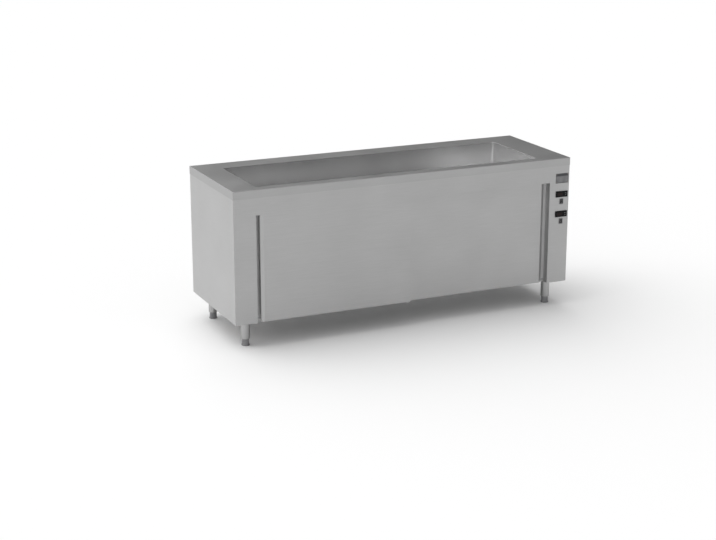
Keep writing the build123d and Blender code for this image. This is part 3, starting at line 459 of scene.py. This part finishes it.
# The anodised plate is an even satin grey without a sharp reflection.
ANODISED = StainedMetal(
    "anodised_aluminium", "868687", 0.46, stain="7a7a7c", stain_mm=30.0, grit_depth_mm=0.006
)
# Slab wool is dull, with hardly any gloss.
WOOL = MineralWool("mineral_wool_slab", "b59a5e", 0.95)
# Vinyl from a dip tank is a soft red skin with a low sheen.
VINYL = MouldedPlastic("dipped_vinyl", "9c2420", 0.42)
# Cast nylon is milky white and waxy.
NYLON = MouldedPlastic("cast_nylon", "dcdad2", 0.5)
# Moulded rubber is nearly black and dull.
RUBBER = MouldedPlastic("moulded_rubber", "262627", 0.72)
# Glass fibre leaves the grey nylon with a matt, slightly rough skin.
FOOT_PLASTIC = MouldedPlastic("glass_filled_nylon", "88888a", 0.55)
# Matt ABS is a black that shows hardly any gloss.
BEZEL_PLASTIC = MouldedPlastic("matt_black_abs", "0e0e0f", 0.5, gloss=0.15)
# Silicone keys are dark grey, and duller than the bezel round them.
KEY_RUBBER = MouldedPlastic("silicone_key", "2e2f31", 0.62, gloss=0.2)
# The moulded switch frame is a matt mid grey, and its rocker darker and smoother.
SWITCH_PLASTIC = MouldedPlastic("grey_polyamide", "707071", 0.5)
ROCKER_PLASTIC = MouldedPlastic("dark_polycarbonate", "333335", 0.3, gloss=0.3)
# Moulded electrical cases are pale grey and matt.
CASE_PLASTIC = MouldedPlastic("light_grey_polyamide", "9a9c9f", 0.5)
# Smoked acrylic is almost black, and smooth enough for a clear soft highlight.
WINDOW = MouldedPlastic(
    "smoked_acrylic", "0a0505", 0.1, grit_mm=2.0, grit_depth_mm=0.001, cloud_mm=60.0, gloss=0.2
)
# The segments of a display that is off are dark red on black.
SEGMENT = MouldedPlastic("unlit_red_segment", "380f0f", 0.3, gloss=0.2)
# Printed ink is flat and even: pale on the keys and rockers, dark on the plate.
INK = MouldedPlastic("pale_pad_print", "a8a8a5", 0.6)
PLATE_INK = MouldedPlastic("dark_screen_print", "4c4c4f", 0.55, gloss=0.3)


# Mesh and dressing helpers


def dress(finish: Finish, *nodes: str, edge_mm: float = 0.0) -> None:
    """Give CAD nodes a finish and, where asked, softened edges.

    Args:
        finish: Finish of all the nodes.
        nodes: Names of the nodes.
        edge_mm: Radius put on sharp edges, or zero to leave them.
    """
    for name in nodes:
        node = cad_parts[name]
        for slot in node.material_slots:
            slot.material = finish.material()
        if edge_mm:
            node.modifiers.new("join", "WELD").merge_threshold = JOIN_MM * MM
            flat = node.modifiers.new("flat", "DECIMATE")
            flat.decimate_type = "DISSOLVE"
            flat.angle_limit = FLAT_ANGLE
            soft = node.modifiers.new("soft", "BEVEL")
            soft.width = edge_mm * MM
            soft.segments = EDGE_SEGMENTS
            soft.angle_limit = SMOOTH_ANGLE
            soft.harden_normals = True
        LOG.info("dressed %s in %s", name, finish.name)


def add_piece(
    name: str,
    shape: bmesh.types.BMesh,
    finish: Finish,
    body: str,
    replaces: tuple[str, ...] = (),
) -> None:
    """Turn a finished shape into a piece that rides on a body.

    Args:
        name: Name of the piece.
        shape: Closed mesh in the part's frame; it is freed here.
        finish: Finish of the piece.
        body: Body that the piece moves with.
        replaces: CAD nodes that the piece stands for.
    """
    bmesh.ops.recalc_face_normals(shape, faces=shape.faces)
    mesh = bpy.data.meshes.new(name)
    shape.to_mesh(mesh)
    shape.free()
    mesh.shade_smooth()
    mesh.set_sharp_from_angle(angle=SMOOTH_ANGLE)
    mesh.materials.append(finish.material())
    piece = bpy.data.objects.new(name, mesh)
    bpy.context.scene.collection.objects.link(piece)
    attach(piece, body)
    if replaces:
        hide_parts(*replaces)
    LOG.info("piece %s on %s", name, body)


def turn(
    shape: bmesh.types.BMesh,
    rings: list[tuple[Outline, float]],
    place: Matrix,
    steps: int,
    loop: bool = False,
) -> None:
    """Add a turned form about the local Z axis, from rings in order along its skin.

    Args:
        shape: Mesh that takes the form.
        rings: Radius, or radius by angle, and height of each ring.
        place: Matrix from the form's own frame to the part's frame.
        steps: Points in each ring.
        loop: True joins the last ring to the first, and False closes both ends with a face.
    """
    circles = []
    for outline, height in rings:
        circle = []
        for step in range(steps):
            angle = math.tau * step / steps
            radius = outline(angle) if callable(outline) else outline
            spot = Vector((radius * math.cos(angle), radius * math.sin(angle), height))
            circle.append(shape.verts.new(place @ spot))
        circles.append(circle)
    pairs = list(zip(circles, circles[1:]))
    if loop:
        pairs.append((circles[-1], circles[0]))
    else:
        shape.faces.new(circles[0])
        shape.faces.new(circles[-1])
    for low, high in pairs:
        for step in range(steps):
            after = (step + 1) % steps
            shape.faces.new((low[step], low[after], high[after], high[step]))


def plate(
    shape: bmesh.types.BMesh, outline: list[tuple[float, float]], place: Matrix, height: float
) -> None:
    """Add a flat raised shape on the local XY plane.

    Args:
        shape: Mesh that takes the form.
        outline: Corners in order.
        place: Matrix from the form's own frame to the part's frame.
        height: Thickness above the plane.
    """
    low = [shape.verts.new(place @ Vector((x, y, 0.0))) for x, y in outline]
    high = [shape.verts.new(place @ Vector((x, y, height))) for x, y in outline]
    shape.faces.new(low)
    shape.faces.new(high)
    for first in range(len(outline)):
        after = (first + 1) % len(outline)
        shape.faces.new((low[first], low[after], high[after], high[first]))


def facing(spot: Vector, normal: Vector, up: Vector = UP) -> Matrix:
    """Return the frame of a mark that lies on a face.

    Args:
        spot: Middle of the mark.
        normal: Direction out of the face, the mark's Z.
        up: Direction that the mark's Y leans to.

    Returns:
        Matrix from the mark's frame to the part's frame.
    """
    side = up.cross(normal).normalized()
    rise = normal.cross(side)
    turned = Matrix((side, rise, normal)).transposed()
    return Matrix.Translation(spot) @ turned.to_4x4()


def middle(node: str) -> Vector:
    """Return the middle of a CAD node's box."""
    low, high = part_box(node)
    return (low + high) / 2


# Sub-assemblies


class Worktop:
    """Top sheet with its turned-down edges, and the well that hangs under its opening."""

    def dress(self) -> None:
        """Finish the sheet and the well's steelwork."""
        dress(TOP_STEEL, "worktop")
        dress(WELL_STEEL, "well_tank", "drain_fitting", "overflow_standpipe")
        dress(SHEATH, "well_heater")
        dress(ZINC, "heater_clamps", "cupboard_ceiling")
        dress(WOOL, "well_insulation")


@dataclass
class Shell:
    """Outer panels and columns of the cabinet."""

    edge_mm: float = 0.4

    def dress(self) -> None:
        """Finish the outer sheets."""
        dress(FRONT_STEEL, "front_fascia", "left_column", "control_column", edge_mm=self.edge_mm)
        dress(FRONT_STEEL, "back_panel", "base_pan", edge_mm=self.edge_mm)
        dress(SIDE_STEEL, "left_side_panel", "right_side_panel", edge_mm=self.edge_mm)


@dataclass
class BackScrews:
    """Pan-head screws with a cross recess that hold the back panel.

    The dome is given by shares of the head's radius and height, from the recess to the seat.
    """

    head_radius_mm: float = 4.2
    head_height_mm: float = 2.0
    dome: tuple[tuple[float, float], ...] = (
        (0.62, 0.99),
        (0.78, 0.93),
        (0.9, 0.8),
        (0.97, 0.55),
        (1.0, 0.25),
        (0.98, 0.0),
    )
    shank_radius_mm: float = 2.0
    shank_length_mm: float = 8.0
    tip_radius_mm: float = 0.4
    recess_length_mm: float = 2.1
    recess_width_mm: float = 0.55
    recess_depth_mm: float = 1.3
    recess_floor_share: float = 0.5
    columns: int = 5
    steps: int = 48

    def cross(self, share: float) -> Callable[[float], float]:
        """Return the outline of the cross recess.

        Args:
            share: Part of the recess's full size.

        Returns:
            Radius by angle.
        """
        quarter = math.pi / 2

        def radius(angle: float) -> float:
            """Return the reach of the cross at an angle.

            Args:
                angle: Place round the axis.

            Returns:
                Radius there.
            """
            lean = abs((angle + quarter / 2) % quarter - quarter / 2)
            reach = self.recess_length_mm / math.cos(lean)
            if reach * math.sin(lean) > self.recess_width_mm:
                reach = self.recess_width_mm / math.sin(lean)
            return reach * share * MM

        return radius

    def rings(self) -> list[tuple[Outline, float]]:
        """Return the skin of one screw from the recess's floor to the tip of the shank.

        Returns:
            Rings for the turning function.
        """
        top = self.head_height_mm
        shank = self.shank_radius_mm
        length = self.shank_length_mm
        rings = [
            (self.cross(self.recess_floor_share), (top - self.recess_depth_mm) * MM),
            (self.cross(1.0), top * MM),
        ]
        rings += [(self.head_radius_mm * out * MM, top * up * MM) for out, up in self.dome]
        rings += [(shank * MM, 0.0), (shank * MM, (shank - length) * MM)]
        return rings + [(self.tip_radius_mm * MM, -length * MM)]

    def build(self) -> None:
        """Build both rows of screws in place of their plain solids."""
        low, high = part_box("panel_screws")
        head = self.head_radius_mm * MM
        seat = high.y - self.head_height_mm * MM
        pitch = (high.x - low.x - 2 * head) / (self.columns - 1)
        shape = bmesh.new()
        for column in range(self.columns):
            for height in (low.z + head, high.z - head):
                spot = Vector((low.x + head + pitch * column, seat, height))
                turn(shape, self.rings(), facing(spot, BACK), self.steps)
        add_piece("back_panel_screws", shape, NICKEL, "cabinet", ("panel_screws",))


@dataclass
class Doors:
    """Two sliding doors with their trolleys, tracks and guide."""

    edge_mm: float = 0.5

    def dress(self) -> None:
        """Finish the doors and what they run in."""
        for side in ("left", "right"):
            dress(FRONT_STEEL, f"{side}_door_skin", edge_mm=self.edge_mm)
            dress(LINER_STEEL, f"{side}_door_liner")
            dress(ZINC, f"{side}_door_hangers")
            dress(NYLON, f"{side}_door_left_rollers", f"{side}_door_right_rollers")
        dress(ZINC, "door_tracks")
        dress(RUBBER, "track_stops")
        dress(LINER_STEEL, "bottom_guide")


class Cupboard:
    """Heated inside of the cabinet."""

    def dress(self) -> None:
        """Finish the liners, the shelf, the heating and the electrics."""
        dress(LINER_STEEL, "side_liners", "back_liner", "door_surround")
        dress(LINER_STEEL, "cupboard_shelf", "shelf_supports", "heater_guard")
        dress(SHEATH, "cupboard_heater")
        dress(WOOL, "back_insulation")
        dress(CASE_PLASTIC, "contactors")


@dataclass
class Controls:
    """Thermostats, switches and the blank plate on the right column."""

    bezel_edge_mm: float = 0.8
    frame_edge_mm: float = 0.5
    rocker_edge_mm: float = 0.4
    key_edge_mm: float = 0.5
    plate_edge_mm: float = 0.25
    digit_height_mm: float = 11.0
    digit_width_mm: float = 5.6
    digit_pitch_mm: float = 9.5
    digits: int = 3
    bar_mm: float = 1.3
    bar_gap_mm: float = 0.25
    slant: float = 0.12
    mark_height_mm: float = 0.12
    print_height_mm: float = 0.06
    arrow_width_mm: float = 5.0
    arrow_height_mm: float = 3.6
    dash_length_mm: float = 4.0
    dash_width_mm: float = 1.1
    ring_radius_mm: float = 1.9
    ring_width_mm: float = 0.66
    ring_steps: int = 32
    mark_probe: float = 0.05
    rivet_radius_mm: float = 2.2
    rivet_height_mm: float = 1.1
    rivet_inset_mm: float = 6.0
    rivet_dome_deg: tuple[float, ...] = (0.0, 20.0, 40.0, 60.0, 78.0)
    rivet_steps: int = 24
    print_inset_mm: float = 1.5
    print_line_mm: float = 1.6
    print_band_mm: float = 15.0

    def dress(self) -> None:
        """Finish the bezels, windows, keys, switches and plate."""
        dress(BEZEL_PLASTIC, "well_thermostat", "cupboard_thermostat", edge_mm=self.bezel_edge_mm)
        dress(WINDOW, "display_windows")
        dress(SWITCH_PLASTIC, "rocker_frames", edge_mm=self.frame_edge_mm)
        dress(ROCKER_PLASTIC, "well_rocker", "cupboard_rocker", edge_mm=self.rocker_edge_mm)
        dress(ANODISED, "blank_plate", edge_mm=self.plate_edge_mm)
        for circuit in ("well", "cupboard"):
            dress(KEY_RUBBER, f"{circuit}_up_key", f"{circuit}_down_key", edge_mm=self.key_edge_mm)

    def bars(self) -> list[list[tuple[float, float]]]:
        """Return the outlines of the seven bars of one digit, about its middle.

        Returns:
            Corners of each bar, in order.
        """
        half_bar = self.bar_mm / 2
        rise = self.digit_height_mm / 2
        reach = self.digit_width_mm / 2
        half_wide = reach - half_bar - self.bar_gap_mm
        half_tall = rise / 2 - half_bar - self.bar_gap_mm
        wide = [(-half_wide, 0), (half_bar - half_wide, half_bar), (half_wide - half_bar, half_bar)]
        tall = [(0, half_tall), (half_bar, half_tall - half_bar), (half_bar, half_bar - half_tall)]
        spots = [(wide, 0.0, level) for level in (half_bar - rise, 0.0, rise - half_bar)]
        for edge in (half_bar - reach, reach - half_bar):
            spots += [(tall, edge, level) for level in (-rise / 2, rise / 2)]
        outlines = []
        for half, across, level in spots:
            around = half + [(-x, -y) for x, y in half]
            moved = [(x + across, y + level) for x, y in around]
            outlines.append([((x + self.slant * y) * MM, y * MM) for x, y in moved])
        return outlines

    def build_digits(self) -> None:
        """Build the dark digits behind each thermostat's window face."""
        low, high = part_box("display_windows")
        for circuit in ("well", "cupboard"):
            shape = bmesh.new()
            for digit in range(self.digits):
                shift = (digit - (self.digits - 1) / 2) * self.digit_pitch_mm * MM
                spot = Vector(((low.x + high.x) / 2 + shift, low.y, middle(f"{circuit}_thermostat").z))
                for outline in self.bars():
                    plate(shape, outline, facing(spot, FRONT), self.print_height_mm * MM)
            add_piece(f"{circuit}_display_digits", shape, SEGMENT, "cabinet")

    def build_arrows(self) -> None:
        """Build the raised arrow on each key."""
        half = self.arrow_width_mm * MM / 2
        rise = self.arrow_height_mm * MM / 2
        for circuit in ("well", "cupboard"):
            for name, way in (("up", 1.0), ("down", -1.0)):
                key = f"{circuit}_{name}_key"
                spot = middle(key)
                spot.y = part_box(key)[0].y
                shape = bmesh.new()
                outline = [(-half, -rise * way), (half, -rise * way), (0.0, rise * way)]
                plate(shape, outline, facing(spot, FRONT), self.mark_height_mm * MM)
                add_piece(f"{key}_arrow", shape, INK, key)

    def build_switch_marks(self) -> None:
        """Build the on line and the off ring on the two slopes of each rocker."""
        half = self.dash_width_mm * MM / 2
        tall = self.dash_length_mm * MM / 2
        line = [(-half, -tall), (half, -tall), (half, tall), (-half, tall)]
        rise = self.mark_height_mm * MM
        outer = self.ring_radius_mm * MM
        inner = outer - self.ring_width_mm * MM
        ring = [(outer, 0.0), (outer, rise), (inner, rise), (inner, 0.0)]
        for circuit in ("well", "cupboard"):
            name = f"{circuit}_rocker"
            low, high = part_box(name)
            quarter = (high.z - low.z) / 4
            places = []
            for height in (low.z + quarter, high.z - quarter):
                start = Vector(((low.x + high.x) / 2, low.y - self.mark_probe, height))
                _, spot, normal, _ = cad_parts[name].ray_cast(start, BACK)
                places.append(facing(spot, normal))
            shape = bmesh.new()
            turn(shape, ring, places[0], self.ring_steps, loop=True)
            plate(shape, line, places[1], rise)
            add_piece(f"{name}_marks", shape, INK, name)

    def build_rivets(self) -> None:
        """Build the four domed rivets of the blank plate."""
        low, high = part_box("blank_plate")
        inset = self.rivet_inset_mm * MM
        angles = [math.radians(angle) for angle in self.rivet_dome_deg]
        arc = [(math.cos(angle), math.sin(angle)) for angle in angles]
        rings = [(self.rivet_radius_mm * out * MM, self.rivet_height_mm * up * MM) for out, up in arc]
        shape = bmesh.new()
        for x in (low.x + inset, high.x - inset):
            for z in (low.z + inset, high.z - inset):
                turn(shape, rings, facing(Vector((x, low.y, z)), FRONT), self.rivet_steps)
        add_piece("plate_rivets", shape, NICKEL, "cabinet")

    def build_plate_print(self) -> None:
        """Build the plain dark band and border that are printed on the blank plate."""
        low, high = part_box("blank_plate")
        wide = (high.x - low.x) / 2 - self.print_inset_mm * MM
        tall = (high.z - low.z) / 2 - self.print_inset_mm * MM
        line = self.print_line_mm * MM
        band_low = tall - self.print_band_mm * MM
        place = facing(Vector(((low.x + high.x) / 2, low.y, (low.z + high.z) / 2)), FRONT)
        shape = bmesh.new()
        for left, right, base, top in (
            (-wide, wide, band_low, tall),
            (-wide, line - wide, -tall, band_low),
            (wide - line, wide, -tall, band_low),
            (line - wide, wide - line, -tall, line - tall),
        ):
            outline = [(left, base), (right, base), (right, top), (left, top)]
            plate(shape, outline, place, self.print_height_mm * MM)
        add_piece("plate_print", shape, PLATE_INK, "cabinet")

    def build(self) -> None:
        """Build every added mark and rivet."""
        self.build_digits()
        self.build_arrows()
        self.build_switch_marks()
        self.build_rivets()
        self.build_plate_print()


@dataclass
class Legs:
    """Tubular legs with screw-out feet.

    A rounding is given by points of how far each lies inside the full radius and below the top.
    """

    pad_radius_mm: float = 23.0
    pad_height_mm: float = 7.0
    pad_rounding_mm: tuple[tuple[float, float], ...] = ((0.0, 2.0), (0.8, 0.6), (2.2, 0.0))
    sole_chamfer_mm: float = 1.2
    neck_radius_mm: float = 20.0
    neck_top_mm: float = 40.0
    neck_rounding_mm: tuple[tuple[float, float], ...] = ((0.5, 0.4), (1.2, 0.0))
    flutes: int = 18
    flute_depth_mm: float = 0.9
    flute_run_mm: float = 1.6
    flute_start_mm: float = 0.6
    flute_stop_mm: float = 1.4
    stem_radius_mm: float = 10.0
    stem_chamfer_mm: float = 0.5
    thread_pitch_mm: float = 2.5
    thread_depth_mm: float = 1.0
    thread_start_mm: float = 0.5
    thread_end_mm: float = 1.0
    rings_per_turn: int = 8
    steps: int = 72

    def dress(self) -> None:
        """Finish the tubes and their plates."""
        dress(LEG_STEEL, "leg_tubes")
        dress(ZINC, "leg_plates")

    def fluted(self, share: float) -> Callable[[float], float]:
        """Return the outline of the neck.

        Args:
            share: Part of the full flute depth.

        Returns:
            Radius by angle.
        """

        def radius(angle: float) -> float:
            """Return the neck's radius at an angle."""
            dip = max(0.0, math.cos(self.flutes * angle)) * self.flute_depth_mm * share
            return (self.neck_radius_mm - dip) * MM

        return radius

    def threaded(self, height_mm: float) -> Callable[[float], float]:
        """Return the outline of the stem.

        Args:
            height_mm: Height along the thread.

        Returns:
            Radius by angle.
        """

        def radius(angle: float) -> float:
            """Return the stem's radius at an angle.

            Args:
                angle: Place round the axis.

            Returns:
                Radius there.
            """
            turn_share = (height_mm / self.thread_pitch_mm - angle / math.tau) % 1.0
            crest = 1.0 - abs(2.0 * turn_share - 1.0)
            return (self.stem_radius_mm - self.thread_depth_mm * (1.0 - crest)) * MM

        return radius

    def rings(self, top_mm: float) -> list[tuple[Outline, float]]:
        """Return the skin of one foot from its sole to the top of its stem.

        Args:
            top_mm: Height of the stem's end above the floor.

        Returns:
            Rings for the turning function.
        """
        pad = self.pad_radius_mm
        rise = self.pad_height_mm
        neck = self.neck_radius_mm
        top = self.neck_top_mm
        root = self.stem_radius_mm - self.thread_depth_mm
        pitch = self.thread_pitch_mm / self.rings_per_turn
        thread_low = top + self.thread_start_mm
        flutes = [(0.0, rise + self.flute_start_mm), (1.0, rise + self.flute_start_mm + self.flute_run_mm)]
        flutes += [(1.0, top - self.flute_stop_mm - self.flute_run_mm), (0.0, top - self.flute_stop_mm)]
        rings = [((pad - self.sole_chamfer_mm) * MM, 0.0), (pad * MM, self.sole_chamfer_mm * MM)]
        rings += [((pad - inset) * MM, (rise - drop) * MM) for inset, drop in self.pad_rounding_mm]
        rings += [(self.fluted(share), height * MM) for share, height in flutes]
        rings += [((neck - inset) * MM, (top - drop) * MM) for inset, drop in self.neck_rounding_mm]
        rings += [(root * MM, top * MM)]
        for step in range(int((top_mm - top - self.thread_end_mm) / pitch)):
            rings.append((self.threaded(pitch * step), (thread_low + pitch * step) * MM))
        return rings + [((root - self.stem_chamfer_mm) * MM, top_mm * MM)]

    def build(self) -> None:
        """Build the four feet in place of their plain solids."""
        for end in ("left", "right"):
            for row in ("front", "back"):
                name = f"{row}_{end}_foot"
                low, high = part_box(name)
                centre = (low + high) / 2
                place = Matrix.Translation((centre.x, centre.y, low.z))
                shape = bmesh.new()
                turn(shape, self.rings((high.z - low.z) / MM), place, self.steps)
                add_piece(f"{name}_fluted", shape, FOOT_PLASTIC, name, (name,))


@dataclass
class Drain:
    """Pipe, ball valve and lever under the left end, and the cable's gland at the right.

    The ends of the grip and of the gland are given by shares of the full section and how far each
    lies along.
    """

    hub_under_mm: float = 3.0
    washer_radius_mm: float = 7.0
    washer_height_mm: float = 1.0
    nut_across_mm: float = 10.0
    nut_height_mm: float = 4.5
    nut_face_radius_mm: float = 4.85
    stud_radius_mm: float = 2.9
    stud_proud_mm: float = 1.5
    chamfer_mm: float = 0.5
    grip_length_mm: float = 47.5
    grip_overhang_mm: float = 0.6
    grip_half_width_mm: float = 9.9
    grip_half_height_mm: float = 3.9
    grip_squareness: float = 6.0
    grip_mouth: tuple[tuple[float, float], ...] = ((0.9, 0.0), (1.0, 0.8))
    grip_end: tuple[tuple[float, float], ...] = ((1.0, 1.2), (0.95, 0.4), (0.85, 0.0))
    grip_lead_mm: float = 2.0
    grip_plain_mm: float = 6.0
    groove_pitch_mm: float = 5.0
    groove_width_mm: float = 2.5
    groove_depth_mm: float = 0.35
    groove: tuple[tuple[float, float], ...] = ((0.0, 0.0), (0.35, 1.0), (0.65, 1.0), (1.0, 0.0))
    gland_seat_mm: float = 28.0
    gland_hex_across_mm: float = 24.2
    gland_hex_height_mm: float = 8.0
    gland_hex_slope_mm: float = 0.2
    gland_radius_mm: float = 10.0
    gland_bore_mm: float = 5.0
    gland_end: tuple[tuple[float, float], ...] = ((0.72, 0.0), (0.86, 1.0), (0.95, 2.6))
    gland_flute_start_mm: float = 5.0
    gland_flutes: int = 12
    gland_flute_depth_mm: float = 0.5
    gland_chamfer_mm: float = 0.6
    steps: int = 72

    def dress(self) -> None:
        """Finish the pipework and the lever."""
        dress(COPPER, "drain_pipe")
        dress(NICKEL, "valve_body", "valve_ball", "valve_lever")

    def hexagon(self, across_mm: float) -> Callable[[float], float]:
        """Return the outline of a hexagon.

        Args:
            across_mm: Distance across its flats.

        Returns:
            Radius by angle.
        """
        side = math.pi / 3

        def radius(angle: float) -> float:
            """Return the hexagon's reach at an angle."""
            lean = (angle + side / 2) % side - side / 2
            return across_mm / 2 / math.cos(lean) * MM

        return radius

    def flattened(self, share: float, dip_mm: float = 0.0) -> Callable[[float], float]:
        """Return the grip's rounded oblong section.

        Args:
            share: Part of the full width and height.
            dip_mm: How far a groove lies under the skin.

        Returns:
            Radius by angle.
        """
        power = self.grip_squareness

        def radius(angle: float) -> float:
            """Return the section's reach at an angle.

            Args:
                angle: Place round the axis.

            Returns:
                Radius there.
            """
            wide = abs(math.cos(angle)) / (self.grip_half_width_mm * share - dip_mm)
            tall = abs(math.sin(angle)) / (self.grip_half_height_mm * share - dip_mm)
            return (wide ** power + tall ** power) ** (-1.0 / power) * MM

        return radius

    def fluted(self, angle: float) -> float:
        """Return the gland nut's radius at an angle, with a groove for each flute."""
        dip = self.gland_flute_depth_mm * max(0.0, math.cos(self.gland_flutes * angle))
        return (self.gland_radius_mm - dip) * MM

    def build_nut(self) -> None:
        """Build the washer, nut and stud end that hold the lever on its stem."""
        axis = middle("valve_ball")
        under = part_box("valve_ball")[0].z - self.hub_under_mm * MM
        place = facing(Vector((axis.x, axis.y, under)), DOWN, FRONT)
        washer = self.washer_radius_mm * MM
        seat = self.washer_height_mm * MM
        nut = self.hexagon(self.nut_across_mm)
        end = seat + self.nut_height_mm * MM
        stud = self.stud_radius_mm * MM
        stud_end = end + self.stud_proud_mm * MM
        chamfer = self.chamfer_mm * MM
        rings = [(washer, 0.0), (washer, seat), (nut, seat), (nut, end - chamfer)]
        rings += [(self.nut_face_radius_mm * MM, end), (stud, end)]
        rings += [(stud, stud_end - chamfer), (stud - chamfer, stud_end)]
        shape = bmesh.new()
        turn(shape, rings, place, self.steps)
        add_piece("lever_nut", shape, NICKEL, "drain_lever")

    def build_grip(self) -> None:
        """Build the ribbed vinyl sleeve over the end of the lever."""
        low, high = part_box("valve_lever")
        length = self.grip_length_mm
        start = low.y + (length - self.grip_overhang_mm) * MM
        place = facing(Vector(((low.x + high.x) / 2, start, (low.z + high.z) / 2)), FRONT)
        rings = [(self.flattened(share), along * MM) for share, along in self.grip_mouth]
        for rib in range(int((length - self.grip_plain_mm) / self.groove_pitch_mm)):
            at = self.grip_lead_mm + self.groove_pitch_mm * rib
            for along, dip in self.groove:
                section = self.flattened(1.0, dip * self.groove_depth_mm)
                rings.append((section, (at + along * self.groove_width_mm) * MM))
        rings += [(self.flattened(share), (length - back) * MM) for share, back in self.grip_end]
        shape = bmesh.new()
        turn(shape, rings, place, self.steps)
        add_piece("lever_grip_sleeve", shape, VINYL, "drain_lever")

    def build_gland(self) -> None:
        """Build the cable gland with its hexagon, fluted nut and open bore."""
        low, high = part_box("cable_gland")
        place = Matrix.Translation(((low.x + high.x) / 2, (low.y + high.y) / 2, low.z))
        top = high.z - low.z
        radius = self.gland_radius_mm * MM
        bore = self.gland_bore_mm * MM
        chamfer = self.gland_chamfer_mm * MM
        seat = self.gland_seat_mm * MM
        under = seat - self.gland_hex_height_mm * MM
        hexagon = self.hexagon(self.gland_hex_across_mm)
        rings = [(radius * share, along * MM) for share, along in self.gland_end]
        rings += [(self.fluted, self.gland_flute_start_mm * MM)]
        rings += [(self.fluted, under - self.gland_hex_slope_mm * MM), (hexagon, under), (hexagon, seat)]
        rings += [(radius, seat), (radius, top - chamfer), (radius - chamfer, top)]
        rings += [(bore, top), (bore, 0.0)]
        shape = bmesh.new()
        turn(shape, rings, place, self.steps, loop=True)
        add_piece("cable_gland_nut", shape, CASE_PLASTIC, "cabinet", ("cable_gland",))

    def build(self) -> None:
        """Build the lever's fittings and the gland."""
        self.build_nut()
        self.build_grip()
        self.build_gland()


# Studio


@dataclass
class Studio:
    """Pale floor, soft light from above and the left, and a camera at the photograph's angle."""

    camera_place: tuple[float, float, float] = (-3.844, -8.075, 2.857)
    camera_target: tuple[float, float, float] = (-0.311, -0.350, 0.3726)
    lens_mm: float = 80.66
    sensor_mm: float = 36.0
    floor_half: float = 60.0
    floor_cells: int = 4
    floor_tint: str = "f8f8f8"
    sky_bright_side: tuple[float, float, float] = (-0.407, -0.12, 0.906)
    sky_dim_reach: float = -0.059
    sky_dim: float = 0.11
    sky_bright: float = 0.951
    sun_strength: float = 1.7
    sun_width_deg: float = 90.0
    sun_from: tuple[float, float, float] = (-0.35, 0.5, 0.79)

    def build_floor(self) -> None:
        """Build the wide matt floor."""
        shape = bmesh.new()
        cells = self.floor_cells
        bmesh.ops.create_grid(shape, x_segments=cells, y_segments=cells, size=self.floor_half)
        mesh = bpy.data.meshes.new("studio_floor")
        shape.to_mesh(mesh)
        shape.free()
        paper = bpy.data.materials.new("matt_paper")
        paper.use_nodes = True
        tree = paper.node_tree
        tree.nodes.clear()
        colour = {"Color": linear_colour(self.floor_tint)}
        shader = add_node(tree, "ShaderNodeBsdfDiffuse", colour)
        add_node(tree, "ShaderNodeOutputMaterial", links={"Surface": shader.outputs[0]})
        mesh.materials.append(paper)
        floor = bpy.data.objects.new("studio_floor", mesh)
        bpy.context.scene.collection.objects.link(floor)

    def build_sky(self) -> None:
        """Build the grey surround, dim low at the right and brightest overhead to the left."""
        world = bpy.data.worlds.new("studio_sky")
        world.use_nodes = True
        tree = world.node_tree
        tree.nodes.clear()
        way = add_node(tree, "ShaderNodeTexCoord").outputs["Generated"]
        settings = {"operation": "DOT_PRODUCT", 1: Vector(self.sky_bright_side).normalized()}
        side = add_node(tree, "ShaderNodeVectorMath", settings, {0: way}).outputs["Value"]
        reach = {"From Min": self.sky_dim_reach, "To Min": self.sky_dim, "To Max": self.sky_bright}
        strength = add_node(tree, "ShaderNodeMapRange", reach, {"Value": side}).outputs[0]
        white = {"Color": (1.0, 1.0, 1.0, 1.0)}
        sky = add_node(tree, "ShaderNodeBackground", white, {"Strength": strength})
        add_node(tree, "ShaderNodeOutputWorld", links={"Surface": sky.outputs[0]})
        bpy.context.scene.world = world

    def build_sun(self) -> None:
        """Build the wide soft lamp above and behind, which draws the shadow forward."""
        lamp = bpy.data.lights.new("soft_sun", "SUN")
        lamp.energy = self.sun_strength
        lamp.angle = math.radians(self.sun_width_deg)
        sun = bpy.data.objects.new("soft_sun", lamp)
        sun.rotation_euler = Vector(self.sun_from).to_track_quat("Z", "Y").to_euler()
        bpy.context.scene.collection.objects.link(sun)

    def build_camera(self) -> None:
        """Build the camera at the photograph's viewing angle."""
        lens = bpy.data.cameras.new("photo_camera")
        lens.lens = self.lens_mm
        lens.sensor_width = self.sensor_mm
        camera = bpy.data.objects.new("photo_camera", lens)
        camera.location = self.camera_place
        aim = Vector(self.camera_target) - Vector(self.camera_place)
        camera.rotation_euler = aim.to_track_quat("-Z", "Y").to_euler()
        bpy.context.scene.collection.objects.link(camera)
        bpy.context.scene.camera = camera

    def build(self) -> None:
        """Build floor, light and camera."""
        self.build_floor()
        self.build_sky()
        self.build_sun()
        self.build_camera()
        bpy.context.scene.view_settings.view_transform = "Standard"
        LOG.info("studio ready")


def main() -> None:
    """Dress every node, and build the added pieces and the studio."""
    logging.basicConfig(level=logging.INFO, format="%(name)s: %(message)s")
    controls = Controls()
    legs = Legs()
    drain = Drain()
    for assembly in (Worktop(), Shell(), Doors(), Cupboard(), controls, legs, drain):
        assembly.dress()
    for assembly in (BackScrews(), controls, legs, drain):
        assembly.build()
    Studio().build()


if __name__ == "__main__":
    main()
